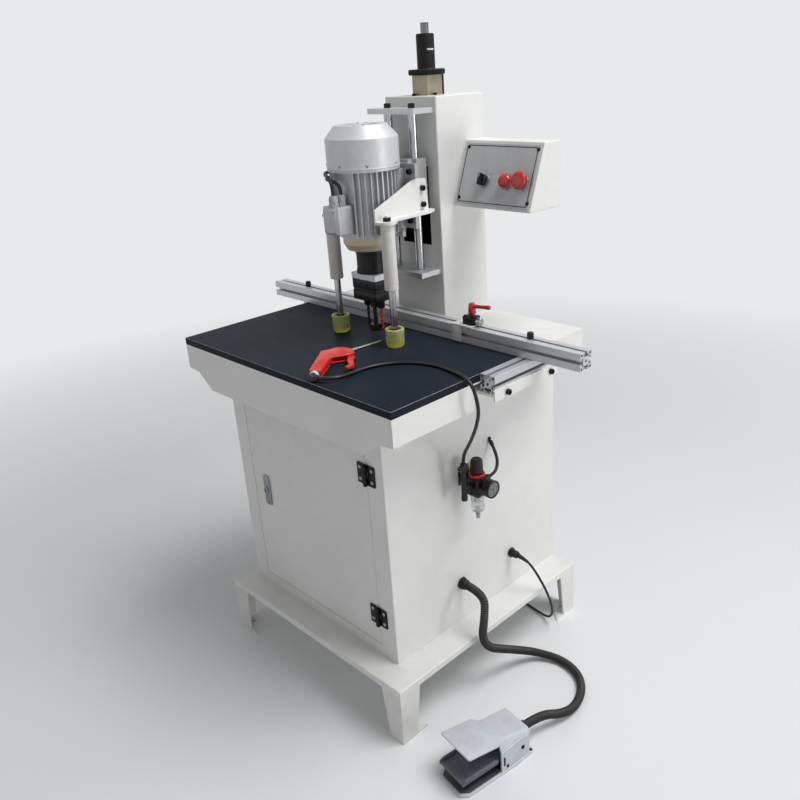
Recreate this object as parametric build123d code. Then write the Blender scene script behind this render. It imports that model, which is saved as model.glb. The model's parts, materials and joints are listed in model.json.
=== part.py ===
from build123d import *
import math
import os

# Base plate, feet and anchor holes
BASE_X, BASE_Y = 335, 333
BASE_Z = (135, 152)
BASE_SHEET = 4
FOOT_TOP, FOOT_TOE, FOOT_SHEET = 62, 45, 5
FLOOR_LEG, FLOOR_SHEET = 78, 6
ANCHOR_X, ANCHOR_Y, ANCHOR_D = 311, 309, 14

# Cabinet, door and hinges
CAB_X, CAB_Y, CAB_Z = (-303, 265), (-271, 330), (152, 790)
CAB_SHEET, BEND_R = 3, 3
DOOR_X, DOOR_Z = (-250, 211), (184, 715)
DOOR_DEPTH, DOOR_SHEET, DOOR_GAP = 20, 2, 1.5
HINGE_X, HINGE_Y = 212, -277
HINGE_LEVELS = (265, 637)
HINGE_TALL, KNUCKLE_D, PIN_D = 50, 11, 6
LATCH_X, LATCH_Z = -193, 457

# Table, deck and side rail
TABLE_X, TABLE_FRONT, DECK_Y = 376.5, -333, (92, 292)
BOARD_Z = (833, 850)
APRON_Z, APRON_BACK, APRON_SHEET = 772, -99, 3
DROP_Z, DROP_X, EASE_Z, EASE_X = 731, 284, 768, 334
DECK_Z = 790
PROFILE = 40
RAIL_Y = (-78, 150)
RAIL_BOLTS = (-44, 105)

# Fence and stop
FENCE_X, FENCE_Y = (-517, 540), (46, 86)
FENCE_MID = 66
FENCE_FLOAT = 0.3
KNOB_LEFT, KNOB_RIGHT = -386, 396.5
LEVER_X = 229

# Column, rods and feed
COLUMN_X, COLUMN_Y, COLUMN_Z = 84, (127, 288), (850, 1372)
COLUMN_WALL, CAP_TOP = 4, 1384
SLOT_X, SLOT_Z = 49, (1044, 1230)
ROD_X, ROD_Y, ROD_D = 40, 93, 20
BRACKET_X, BRACKET_Y = 76, (62, 127)
BRACKET_LEVELS = ((978, 990), (1350, 1362))
FEED_Y, FEED_D = 188, 19
HEAD_HALF, HEAD_TOP = 25.5, 1428
STOP_DISC, STOP_TUBE = 86, 42
HEAD_SCREWS = ((-14, 156), (32, 181), (14, 220), (-32, 195))
RUN_FIT = 0.1

# Head: motor, gearbox, clamps
AXIS_Y = -28
MOTOR_R, FIN_R, FIN_COUNT, FIN_T = 66, 78, 36, 3
MOTOR_Z, COWL_Z, COWL_R = (1094, 1247), (1247, 1310, 1337), (82, 59)
FLANGE_R, FLANGE_Z = (52, 60), (1063, 1078, 1094)
COUPLING_D, COUPLING_BORE = 70, 52
BOX_HALF_X, BOX_Y = 41, (-57, 1)
SPINDLE_PITCH, SPINDLE_D, SPINDLE_Z, BIT_D = 24, 14, 920, 7
GEAR_TEETH, GEAR_ROOT, GEAR_TIP = 16, 10.1, 13.3
CLAMP_LEFT, CLAMP_RIGHT, CLAMP_Y = 91, 103, -62
CLAMP_D, CLAMP_ROD = 32, 16
SLIDE_X = 62
TERMINAL_Y = (-142, -97)
PLATE_EDGE = ((82, 1246), (82, 1214), (60, 1214), (60, 1131), (76, 1131), (76, 1099), (29, 1099), (29, 1075))

# Control box and its slanted panel
BOX_X = (84, 315)
BOX_TOP, BOX_LOW, BOX_BACK = (225, 1281), (170, 1135), 285
PANEL = Plane(origin=(84, 170, 1135), x_dir=(1, 0, 0), z_dir=(0, -146, 55))
PANEL_LIFT = 2
SELECTOR, START, ESTOP = (84, 64), (150.5, 65), (195.5, 67)
PANEL_SCREWS = ((16.5, 21), (220, 21), (16.5, 139.5), (220, 139.5))

# Air unit and blow gun
AIR_X, AIR_Y, RISER_Y = 312, -28, -72
AIR_ENTRY = (71, 610)
AIR_D = 8
GUN_Z = (850.5, 869.5)
GUN_MID = 860
PIVOT = (93, -190)

# Foot switch
PEDAL = Pos(510, -248, 0) * Rot(0, 0, -9)
PEDAL_X, GUARD_X = 48, 50
CASE_Y, CASE_SKIN = (8, 94), 4
CASE_WIDE = ((46, 46, 36), (42, 44, 38))
CASE_HIGH = ((0, 60, 91), (0, 67, 77))
TREADLE_Y, TREADLE_Z = 72, 37

# Cords
LEAD_D, CABLE_D, CONDUIT_D, CONDUIT_BORE = 8, 6.4, 21, 15
RIB_PITCH, RIB_DEPTH = 5, 1.6
COIL_AT, COIL_R, COIL_TURNS, COIL_PITCH = (-60, 196), 67, 3, 7.2
COIL_LOW = 4.6

AIR_HOSE = [
    (142.2, -320.5, 860), (174.17, -301.85, 860), (166, -250, 854.2), (165, -196, 854.2),
    (200, -138, 854.2), (262, -106, 854.2), (325, -110, 854.2), (398, -131, 857),
    (412, -124, 798), (395, -112, 751), (360, -97, 693), (313, -72.5, 638), (312, RISER_Y, 616),
]
AIR_TUBE = [(312, 14, 547), (312, 36, 547), (304, 56, 562), (291, 66, 580), (277, 69, 597)]
LEADS = (
    [(8, -129, 1196), (8, -129, 1218), (-6, -126, 1232), (-34, -113, 1236), (-62, -90, 1236),
     (-80, -60, 1235), (-87, -28, 1234), (-84, 2, 1233), (-74, 28, 1232), (-74, 52, 1232)],
    [(8, -107, 1196), (8, -107, 1212), (-5, -111, 1222), (-32, -110, 1225), (-60, -89, 1224),
     (-78, -60, 1223), (-86, -28, 1222), (-83, 2, 1221), (-74, 26, 1219), (-74, 52, 1219)],
)
CONDUIT = [
    (284, -45, 259), (340, -45, 259), (360, -70, 218), (360, -82, 165), (357, -55, 116),
    (358, -6, 82), (365, 46, 50), (384, 98, 21), (440, 128, 11), (505, 114, 11), (548, 70, 11),
    (566, 12, 11), (562, -38, 24), (543.24, -89.25, 48), (535.42, -138.63, 48),
]
POWER_CABLE = [
    (290, 145, 252), (320, 145, 249), (338, 153, 223), (347, 167, 188), (352, 186, 145),
    (354, 205, 95), (345, 222, 48), (316, 240, 12), (264, 252, 4.6), (202, 262, 4.6), (140, 266, 4.6),
    (80, 264, 4.6),
]
COIL_RUN, COIL_TAIL = 66, 42


def block(x, y, z):
    """Box over the spans x, y and z."""
    middle = [(low + high) / 2 for low, high in (x, y, z)]
    return Pos(*middle) * Box(*[high - low for low, high in (x, y, z)])


def half(value):
    """Span from -value to +value."""
    return (-value, value)


def rod(x, y, z, d):
    """Upright cylinder of diameter d over the span z."""
    return Pos(x, y, (z[0] + z[1]) / 2) * Cylinder(d / 2, z[1] - z[0])


def rod_x(x, y, z, d):
    """Cylinder along X over the span x."""
    return Pos((x[0] + x[1]) / 2, y, z) * Rot(0, 90, 0) * Cylinder(d / 2, x[1] - x[0])


def rod_y(x, y, z, d):
    """Cylinder along Y over the span y."""
    return Pos(x, (y[0] + y[1]) / 2, z) * Rot(90, 0, 0) * Cylinder(d / 2, y[1] - y[0])


def prism(points, direction, depth):
    """Solid of a closed outline carried along a direction."""
    return extrude(make_face(Polyline(*points, close=True)), depth, dir=direction)


def prism_yz(points, x):
    """Outline in Y and Z over the span x."""
    return prism([(x[0], py, pz) for py, pz in points], (1, 0, 0), x[1] - x[0])


def prism_xz(points, y):
    """Outline in X and Z over the span y."""
    return prism([(px, y[0], pz) for px, pz in points], (0, 1, 0), y[1] - y[0])


def prism_xy(points, z):
    """Outline in X and Y over the span z."""
    return prism([(px, py, z[0]) for px, py in points], (0, 0, 1), z[1] - z[0])


def flip(shape):
    """Copy of a shape on the other side of the middle plane."""
    return mirror(shape, about=Plane.YZ)


def save(name, *shapes):
    """Write one named piece with all its solids."""
    solids = [solid for shape in shapes for solid in shape.solids()]
    export_step(Compound(solids) if len(solids) > 1 else solids[0], f"parts/{name}.step")
    print(name, len(solids), round(sum(solid.volume for solid in solids) / 1000, 1), "cm3")


def turn_radii(points):
    """Corner radii of a cord route, from the shorter run beside each corner."""
    radii = []
    for before, here, after in zip(points, points[1:], points[2:]):
        first = Vector(here) - Vector(before)
        second = Vector(after) - Vector(here)
        angle = math.radians(first.get_angle(second))
        radii.append(0.45 * min(first.length, second.length) / math.tan(angle / 2))
    return radii


def cord_path(points):
    """Runs and arcs of a cord route."""
    return FilletPolyline(*points, radius=turn_radii(points))


def cord(name, points, d):
    """Round tube along a route."""
    path = cord_path(points)
    tube = sweep(Plane(origin=path @ 0, z_dir=path % 0) * Circle(d / 2), path=path)
    expected = math.pi * d * d / 4 * path.length
    print(name, "length", round(path.length), "least radius", round(min(turn_radii(points)), 1),
          "volume ratio", round(tube.volume / expected, 4))
    return tube


def slot_profile():
    """Square slotted section with a slot in each side, a middle bore and corner voids."""
    lip, mouth, cavity, deep = 4.6, 8.2, 18, 6
    void_at, void_size, bore = 15, 6, 6.8
    section = RectangleRounded(PROFILE, PROFILE, 1.5)
    for angle in (0, 90, 180, 270):
        section -= Rot(0, 0, angle) * Pos(0, PROFILE / 2 - lip / 2) * Rectangle(mouth, lip)
        section -= Rot(0, 0, angle) * Pos(0, PROFILE / 2 - lip - deep / 2) * Rectangle(cavity, deep)
        section -= Rot(0, 0, angle) * Pos(void_at, void_at) * Rectangle(void_size, void_size)
    return section - Circle(bore / 2)


def base_pieces():
    """Base plate and feet."""
    inner = BASE_SHEET
    plate = block(half(BASE_X), half(BASE_Y), BASE_Z)
    plate = fillet(plate.edges().group_by(Axis.Z)[-1], 3)
    plate -= block(half(BASE_X - inner), half(BASE_Y - inner), (BASE_Z[0] - 5, BASE_Z[1] - inner))
    side = prism_yz([(BASE_Y, 0), (BASE_Y - FOOT_TOE, 0), (BASE_Y - FOOT_TOP, BASE_Z[0]),
                     (BASE_Y, BASE_Z[0])], (BASE_X - FOOT_SHEET, BASE_X))
    front = prism_xz([(BASE_X, 0), (BASE_X - FOOT_TOE, 0), (BASE_X - FOOT_TOP, BASE_Z[0]),
                      (BASE_X, BASE_Z[0])], (BASE_Y - FOOT_SHEET, BASE_Y))
    floor = prism_xy([(BASE_X, BASE_Y), (BASE_X - FLOOR_LEG, BASE_Y), (BASE_X, BASE_Y - FLOOR_LEG)],
                     (0, FLOOR_SHEET))
    foot = side + front + floor - rod(ANCHOR_X, ANCHOR_Y, (-1, FLOOR_SHEET + 1), ANCHOR_D)
    pair = [foot, flip(foot)]
    save("base_plate", plate)
    save("base_feet", *pair, *[mirror(one, about=Plane.XZ) for one in pair])


def cabinet_pieces():
    """Shell, door, hinges, latch and the control gear inside."""
    wall = CAB_SHEET
    inside = [(low + wall, high - wall) for low, high in (CAB_X, CAB_Y, CAB_Z)]
    hole_x = (DOOR_X[0] - DOOR_GAP, DOOR_X[1] + DOOR_GAP)
    hole_z = (DOOR_Z[0] - DOOR_GAP, DOOR_Z[1] + DOOR_GAP)
    frame_y = (CAB_Y[0], CAB_Y[0] + DOOR_DEPTH + 1)
    shell = block(CAB_X, CAB_Y, CAB_Z)
    shell = fillet(shell.edges().filter_by(Axis.Z), BEND_R) - block(*inside)
    shell += block((hole_x[0] - wall, hole_x[1] + wall), frame_y, (hole_z[0] - wall, hole_z[1] + wall))
    shell -= block(hole_x, (CAB_Y[0] - 1, frame_y[1] + 1), hole_z)
    right = (CAB_X[1] - 10, CAB_X[1] + 10)
    for y, z, d in ((-45, 259, 18), (145, 252, 12), (*AIR_ENTRY, 10)):
        shell -= rod_x(right, y, z, d)
    save("cabinet_shell", shell)

    door_y = (CAB_Y[0], CAB_Y[0] + DOOR_DEPTH)
    shaft_d = 16
    door = block(DOOR_X, door_y, DOOR_Z)
    door = fillet(door.faces().sort_by(Axis.Y)[0].edges(), 1)
    door -= block((DOOR_X[0] + DOOR_SHEET, DOOR_X[1] - DOOR_SHEET), (door_y[0] + DOOR_SHEET, door_y[1] + 1),
                  (DOOR_Z[0] + DOOR_SHEET, DOOR_Z[1] - DOOR_SHEET))
    door -= rod_y(LATCH_X, (door_y[0] - 1, door_y[1]), LATCH_Z, shaft_d + RUN_FIT)
    save("cabinet_door", door)

    paddle_y, cam_y, cam_long = (-275, -271.4), (-249.4, -246.4), 75
    latch = block((LATCH_X - 13, LATCH_X + 13), paddle_y, (LATCH_Z - 42, LATCH_Z + 42))
    latch = fillet(latch.edges().filter_by(Axis.Y), 6)
    latch += rod_y(LATCH_X, (paddle_y[1] - 1, cam_y[1]), LATCH_Z, shaft_d)
    latch += block((LATCH_X - 8, LATCH_X + 8), cam_y, (LATCH_Z - 8, LATCH_Z + cam_long))
    latch += rod_y(LATCH_X, (paddle_y[0] - 4, paddle_y[0]), LATCH_Z, 18)
    save("door_latch", latch)

    fixed, moving = [], []
    third = HINGE_TALL / 3
    ease = 0.4
    for level in HINGE_LEVELS:
        low, high = level - HINGE_TALL / 2, level + HINGE_TALL / 2
        cuts = (low, low + third, high - third, high)
        leaf_y = (CAB_Y[0] - 3, CAB_Y[0])
        outer = [rod(HINGE_X, HINGE_Y, (cuts[0], cuts[1] - ease), KNUCKLE_D),
                 rod(HINGE_X, HINGE_Y, (cuts[2] + ease, cuts[3]), KNUCKLE_D)]
        clear = KNUCKLE_D + 1
        leaf = block((HINGE_X + 1.5, HINGE_X + 28), leaf_y, (low, high))
        leaf -= rod(HINGE_X, HINGE_Y, (cuts[1] - ease, cuts[2] + ease), clear)
        fixed.append(leaf + outer + rod(HINGE_X, HINGE_Y, (low, high), PIN_D))
        leaf = block((HINGE_X - 29, HINGE_X - 1.5), leaf_y, (low, high))
        leaf -= rod(HINGE_X, HINGE_Y, (low - 1, cuts[1] + ease), clear)
        leaf -= rod(HINGE_X, HINGE_Y, (cuts[2] - ease, high + 1), clear)
        leaf += rod(HINGE_X, HINGE_Y, (cuts[1] + ease, cuts[2] - ease), KNUCKLE_D)
        moving.append(leaf - rod(HINGE_X, HINGE_Y, (low - 1, high + 1), PIN_D + RUN_FIT))
    save("hinge_leaves_fixed", *fixed)
    save("hinge_leaves_door", *moving)

    back = CAB_Y[1] - wall
    panel = block((-220, 160), (back - 10, back - 7), (300, 660))
    panel += [rod_y(x, (back - 7, back), z, 14) for x in (-205, 145) for z in (315, 645)]
    contactor = block((-190, -120), (back - 90, back - 10), (500, 590))
    relay = block((-100, -50), (back - 80, back - 10), (500, 590))
    valves = block((10, 130), (back - 75, back - 10), (520, 580))
    valves += [rod(x, back - 42, (580, 600), 14) for x in (35, 70, 105)]
    terminals = block((-190, 130), (back - 50, back - 10), (360, 395))
    save("control_gear", panel, contactor, relay, valves, terminals)


def table_pieces():
    """Frame with rear deck, board and side rail."""
    sheet = APRON_SHEET
    front = (TABLE_FRONT, TABLE_FRONT + sheet)
    frame = block(half(TABLE_X), (TABLE_FRONT, DECK_Y[0] + sheet), (BOARD_Z[0] - 4, BOARD_Z[0]))
    edge = [(TABLE_X, BOARD_Z[0]), (TABLE_X, APRON_Z), (EASE_X, EASE_Z), (DROP_X, DROP_Z)]
    frame += prism_xz(edge + [(-x, z) for x, z in reversed(edge)], front)
    deck = block(half(TABLE_X), DECK_Y, (DECK_Z, BOARD_Z[1]))
    deck -= block(half(TABLE_X - sheet), (DECK_Y[0] + sheet, DECK_Y[1] - sheet),
                  (DECK_Z - 1, BOARD_Z[1] - 4))
    frame += deck
    for side in (-1, 1):
        outer = sorted((side * TABLE_X, side * (TABLE_X - sheet)))
        frame += block(outer, (TABLE_FRONT, APRON_BACK), (APRON_Z, BOARD_Z[0]))
        beam = sorted((side * 200, side * 240))
        frame += block(beam, (-262, DECK_Y[0]), (CAB_Z[1], BOARD_Z[0] - 4))
    rail_low = BOARD_Z[1] - PROFILE
    lip_x = TABLE_X + PROFILE + 0.5
    hang_x, hang_y = 330, (RAIL_Y[0] - 6, 130)
    frame += block((hang_x, lip_x + 4), hang_y, (rail_low - 4, rail_low))
    frame += block((lip_x, lip_x + 4), hang_y, (rail_low - 13, rail_low + 12))
    frame += block((hang_x, hang_x + 4), hang_y, (rail_low - 4, BOARD_Z[0] - 4))
    save("table_frame", frame)

    board = block(half(TABLE_X), (TABLE_FRONT, DECK_Y[0]), BOARD_Z)
    save("table_board", chamfer(board.edges().group_by(Axis.Z)[-1], 1.2))

    rail_at = Plane(origin=(TABLE_X + PROFILE / 2, RAIL_Y[0], BOARD_Z[1] - PROFILE / 2),
                    x_dir=(1, 0, 0), z_dir=(0, -1, 0))
    save("side_rail", extrude(rail_at * slot_profile(), RAIL_Y[0] - RAIL_Y[1]))


def fence_pieces():
    """Fence, its two lock knobs, the stop carrier and its lever."""
    low = BOARD_Z[1] + FENCE_FLOAT
    mid_z = low + PROFILE / 2
    top = low + PROFILE
    stud, passage = 6, 6.6
    at = Plane(origin=(FENCE_X[0], FENCE_MID, mid_z), x_dir=(0, 1, 0), z_dir=(1, 0, 0))
    fence = extrude(at * slot_profile(), FENCE_X[1] - FENCE_X[0])
    shoe_z = (low - 12, low)
    shoe = block((-394, -377.5), (FENCE_MID - 16, FENCE_MID + 16), shoe_z)
    nut_z = (low - 10.4, low - 5.4)
    nut = block((KNOB_RIGHT - 6, KNOB_RIGHT + 6), (FENCE_MID - 6, FENCE_MID + 6), nut_z)
    bores = [rod(x, FENCE_MID, (low - 20, top + 1), passage) for x in (KNOB_LEFT, KNOB_RIGHT)]
    save("fence_rail", fence - bores, shoe - bores[0], nut - bores[1])
    for name, x, end in (("left", KNOB_LEFT, shoe_z[0] + 1), ("right", KNOB_RIGHT, nut_z[0])):
        head = rod(x, FENCE_MID, (top + 0.3, top + 15), 15)
        head = fillet(head.edges().group_by(Axis.Z)[-1], 2)
        save(f"{name}_fence_knob", head + rod(x, FENCE_MID, (end, top + 1), stud))

    gap, plate = 0.3, 3
    leg_z = (top + gap, top + gap + plate)
    face_y = (FENCE_Y[0] - gap - plate, FENCE_Y[0] - gap)
    stop = block((184, 243), (face_y[0], FENCE_MID + 14), leg_z)
    stop += block((184, 212), face_y, (852, leg_z[1]))
    body = block((209, 243), (FENCE_MID - 14, FENCE_MID + 14), (leg_z[1], 912))
    body = fillet(body.edges().filter_by(Axis.Z), 4)
    pin = rod_x((243, 256), FENCE_MID, 902, 18)
    anchor = block((LEVER_X - 11, LEVER_X + 11), (FENCE_MID - 6, FENCE_MID + 6), (top - 10.2, top - 5.2))
    anchor += rod(LEVER_X, FENCE_MID, (top - 5.2, leg_z[0]), stud)
    save("stop_carrier", stop, body, pin, anchor)
    lever = rod(LEVER_X, FENCE_MID, (912.3, 918), 12) + rod(LEVER_X, FENCE_MID, (918, 943), 18)
    arm = Plane(origin=(LEVER_X, FENCE_MID, 935), z_dir=(49, 0, 5))
    lever += arm * Pos(0, 0, 25) * Cylinder(4.6, 50) + arm * Pos(0, 0, 50) * Sphere(5.4)
    save("stop_lever", lever)


def column_pieces():
    """Column with cap and rod brackets, guide rods and the feed drive."""
    wall = COLUMN_WALL
    tube = block(half(COLUMN_X), COLUMN_Y, COLUMN_Z)
    tube = fillet(tube.edges().filter_by(Axis.Z), BEND_R)
    tube -= block(half(COLUMN_X - wall), (COLUMN_Y[0] + wall, COLUMN_Y[1] - wall), (840, CAP_TOP))
    tube -= block(half(SLOT_X), (COLUMN_Y[0] - 1, COLUMN_Y[0] + wall + 1), SLOT_Z)
    neck_d, barrel_d, bore_d = 40, 70, 63
    cap = block(half(COLUMN_X), COLUMN_Y, (COLUMN_Z[1], CAP_TOP))
    cap = fillet(cap.edges().filter_by(Axis.Z), BEND_R)
    cap = fillet(cap.edges().group_by(Axis.Z)[-1], 2)
    cap -= rod(0, FEED_Y, (COLUMN_Z[1] - 1, CAP_TOP + 1), neck_d)
    rods = [rod(x, ROD_Y, (BRACKET_LEVELS[0][0], BRACKET_LEVELS[1][1]), ROD_D) for x in (-ROD_X, ROD_X)]
    brackets = [block(half(BRACKET_X), BRACKET_Y, level) - rods for level in BRACKET_LEVELS]
    save("column", tube, cap, *brackets)
    save("guide_rods", *rods)

    barrel_z, cavity_z = (1246, COLUMN_Z[1]), (1258, 1360)
    barrel = rod(0, FEED_Y, barrel_z, barrel_d) - rod(0, FEED_Y, cavity_z, bore_d)
    head = block(half(HEAD_HALF), (FEED_Y - HEAD_HALF, FEED_Y + HEAD_HALF), (CAP_TOP, HEAD_TOP))
    head = fillet(head.edges().filter_by(Axis.Z), 3)
    barrel += rod(0, FEED_Y, (COLUMN_Z[1], CAP_TOP), neck_d) + head
    save("feed_cylinder", barrel - rod(0, FEED_Y, (1240, 1440), FEED_D + RUN_FIT))

    feed = rod(0, FEED_Y, (1120, 1540), FEED_D)
    feed += rod(0, FEED_Y, (1258.5, 1278), bore_d - RUN_FIT)
    for nut_z in ((1122, 1134), (1166, 1176)):
        feed += Pos(0, FEED_Y, nut_z[0]) * extrude(RegularPolygon(15, 6), nut_z[1] - nut_z[0])
    save("feed_rod", feed)
    stop = rod(0, FEED_Y, (HEAD_TOP + 0.2, 1441), STOP_DISC)
    stop = fillet(stop.edges(), 2) + rod(0, FEED_Y, (1441, 1517), STOP_TUBE)
    save("depth_stop", stop - rod(0, FEED_Y, (1420, 1520), FEED_D + RUN_FIT))


def head_pieces():
    """Carriage, motor, gearbox, leads and clamps."""
    slide_z, tongue_z, bush_d = (1134, 1252), (1134, 1166), 28
    plate_y, slide_y = (52, 62), (78, 109)
    frame = block(half(SLIDE_X), slide_y, slide_z) + block(half(50), (plate_y[1], slide_y[0]), slide_z)
    plate = prism_xz(PLATE_EDGE + tuple((-x, z) for x, z in reversed(PLATE_EDGE)), plate_y)
    stem_x, stem_top = PLATE_EDGE[-2]
    inner = [edge for edge in plate.edges().filter_by(Axis.Y)
             if abs(edge.center().Z - stem_top) < 1 and abs(edge.center().X) < stem_x + 1]
    frame += fillet(inner, 13)
    frame += block(half(30), (slide_y[1], 205), tongue_z)
    frame += block((-82, -64), (44, plate_y[0]), (1211, 1240))
    frame -= rod(0, FEED_Y, (1130, 1170), FEED_D)
    frame -= rod(0, AXIS_Y, (MOTOR_Z[1] - 7, 1260), 2 * COWL_R[0] + 1)
    bushes = []
    for x in (-ROD_X, ROD_X):
        frame -= rod(x, ROD_Y, (1130, 1260), bush_d)
        bushes.append(rod(x, ROD_Y, slide_z, bush_d) - rod(x, ROD_Y, (1130, 1260), ROD_D + RUN_FIT))
    for route in LEADS:
        frame -= rod_y(route[-1][0], (43, plate_y[0]), route[-1][2], LEAD_D)
    save("carriage", frame, *bushes)

    fin_deep = FIN_R - MOTOR_R + 3
    fin_at = PolarLocations(FIN_R - fin_deep / 2, FIN_COUNT)
    fins = Sketch() + [place * Rectangle(fin_deep, FIN_T) for place in fin_at]
    fins = Pos(0, AXIS_Y, MOTOR_Z[0] + 7) * extrude(fins, MOTOR_Z[1] - MOTOR_Z[0] - 13)
    fins -= block((-28, 34), (AXIS_Y - 90, AXIS_Y - 60), (1080, 1250))
    fins -= block(half(48), (20, 60), (1080, 1250))
    motor = rod(0, AXIS_Y, MOTOR_Z, 2 * MOTOR_R) + fins
    motor += rod(0, AXIS_Y, (MOTOR_Z[1] - 6, MOTOR_Z[1]), 2 * COWL_R[0])
    motor += rod(0, AXIS_Y, FLANGE_Z[1:], 2 * FLANGE_R[1])
    motor += Pos(0, AXIS_Y, (FLANGE_Z[0] + FLANGE_Z[1]) / 2) * Cone(*FLANGE_R, FLANGE_Z[1] - FLANGE_Z[0])
    motor += block(half(45), (20, plate_y[0]), (1100, 1235))
    motor += block((-22, 28), (TERMINAL_Y[1], -80), (1106, 1170))
    shaft_d, rotor_d = 19, 98.6
    motor -= rod(0, AXIS_Y, (1095, 1237), rotor_d + 1.4)
    motor -= rod(0, AXIS_Y, (1050, 1250), shaft_d + RUN_FIT)
    save("motor_body", motor)

    skin = 2
    slope = COWL_Z[2] - COWL_Z[1]
    cone_z = (COWL_Z[1] + COWL_Z[2]) / 2
    inner = [radius - skin for radius in COWL_R]
    cowl = rod(0, AXIS_Y, COWL_Z[:2], 2 * COWL_R[0]) + Pos(0, AXIS_Y, cone_z) * Cone(*COWL_R, slope)
    cowl -= rod(0, AXIS_Y, COWL_Z[:2], 2 * inner[0]) + Pos(0, AXIS_Y, cone_z - skin) * Cone(*inner, slope)
    vents = [Pos(0, AXIS_Y, COWL_Z[2]) * place * Box(30, 6, 12) for place in PolarLocations(34, 12)]
    save("fan_cowl", cowl - vents)

    box = block((-23, 29), TERMINAL_Y, (1110, 1172))
    box = chamfer(box.faces().sort_by(Axis.Y)[0].edges(), 6)
    glands = []
    for route in LEADS:
        x, y, end = route[0]
        glands.append(rod(x, y, (1172, end - 4), 21.6) + rod(x, y, (end - 4, end), 17))
    save("terminal_box", box, *glands)
    save("motor_leads", *[cord(f"motor lead {i}", route, LEAD_D) for i, route in enumerate(LEADS, 1)])

    coupling_z = (1005, FLANGE_Z[0])
    coupling = rod(0, AXIS_Y, coupling_z, COUPLING_D) - rod(0, AXIS_Y, coupling_z, COUPLING_BORE)
    save("coupling_housing", coupling)
    rows = (-SPINDLE_PITCH, 0, SPINDLE_PITCH)
    bore = SPINDLE_D + RUN_FIT
    save("adapter_plate", block(half(BOX_HALF_X), BOX_Y, (991, 1005)) - rod(0, AXIS_Y, (980, 1010), bore))
    case = block(half(BOX_HALF_X), BOX_Y, (940, 991))
    case = fillet(case.edges().filter_by(Axis.Z), 3)
    case -= block(half(38.5), (AXIS_Y - 16, AXIS_Y + 16), (948, 992))
    save("gearbox", case - [rod(x, AXIS_Y, (930, 950), bore) for x in rows])
    spindle_pieces(shaft_d, rotor_d)
    clamp_pieces()


def gear(turn):
    """Spur gear section with slim teeth, turned by an angle in degrees."""
    widths = ((GEAR_ROOT - 1, 1.45), (12, 0.9), (GEAR_TIP, 0.35))
    flank = [(r, w) for r, w in widths] + [(r, -w) for r, w in reversed(widths)]
    tooth = make_face(Polyline(*flank, close=True))
    teeth = [Rot(0, 0, turn + 360 * i / GEAR_TEETH) * tooth for i in range(GEAR_TEETH)]
    return extrude(Circle(GEAR_ROOT) + teeth, 20)


def spindle_pieces(shaft_d, rotor_d):
    """Driven middle spindle and the two geared side spindles with their bits."""
    gear_low = 955
    drive = rod(0, AXIS_Y, (SPINDLE_Z, 1020), SPINDLE_D) + rod(0, AXIS_Y, (1012, 1050), 40)
    drive += rod(0, AXIS_Y, (1045, 1305), shaft_d) + rod(0, AXIS_Y, (1100, 1230), rotor_d)
    drive += Pos(0, AXIS_Y, gear_low) * gear(0)
    drive += rod(0, AXIS_Y, (1260, 1288), 44)
    drive += [Pos(0, AXIS_Y, 1274) * place * Box(46, 3, 28) for place in PolarLocations(42, 8)]
    drive += rod(0, AXIS_Y, (SPINDLE_Z, 938), 20) + rod(0, AXIS_Y, (876, SPINDLE_Z), 10)
    cup_d, cup_z = 32, (862, 878)
    cup = rod(0, AXIS_Y, cup_z, cup_d) - rod(0, AXIS_Y, (cup_z[0], cup_z[0] + 5), cup_d - 6)
    cup -= block((2, 20), (AXIS_Y, AXIS_Y + 4), cup_z) + block((-20, -2), (AXIS_Y - 4, AXIS_Y), cup_z)
    cup += Pos(0, AXIS_Y, cup_z[0] + 2) * Cone(0.4, 3, 6)
    save("drive_spindle", drive + cup)
    for name, x in (("left", -SPINDLE_PITCH), ("right", SPINDLE_PITCH)):
        spindle = rod(x, AXIS_Y, (SPINDLE_Z, 986), SPINDLE_D) + rod(x, AXIS_Y, (SPINDLE_Z, 938), 18)
        spindle += Pos(x, AXIS_Y, gear_low) * gear(180 / GEAR_TEETH)
        spindle += rod(x, AXIS_Y, (868, SPINDLE_Z), BIT_D) + Pos(x, AXIS_Y, 866) * Cone(0.6, BIT_D / 2, 4)
        save(f"{name}_spindle", spindle)


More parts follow.
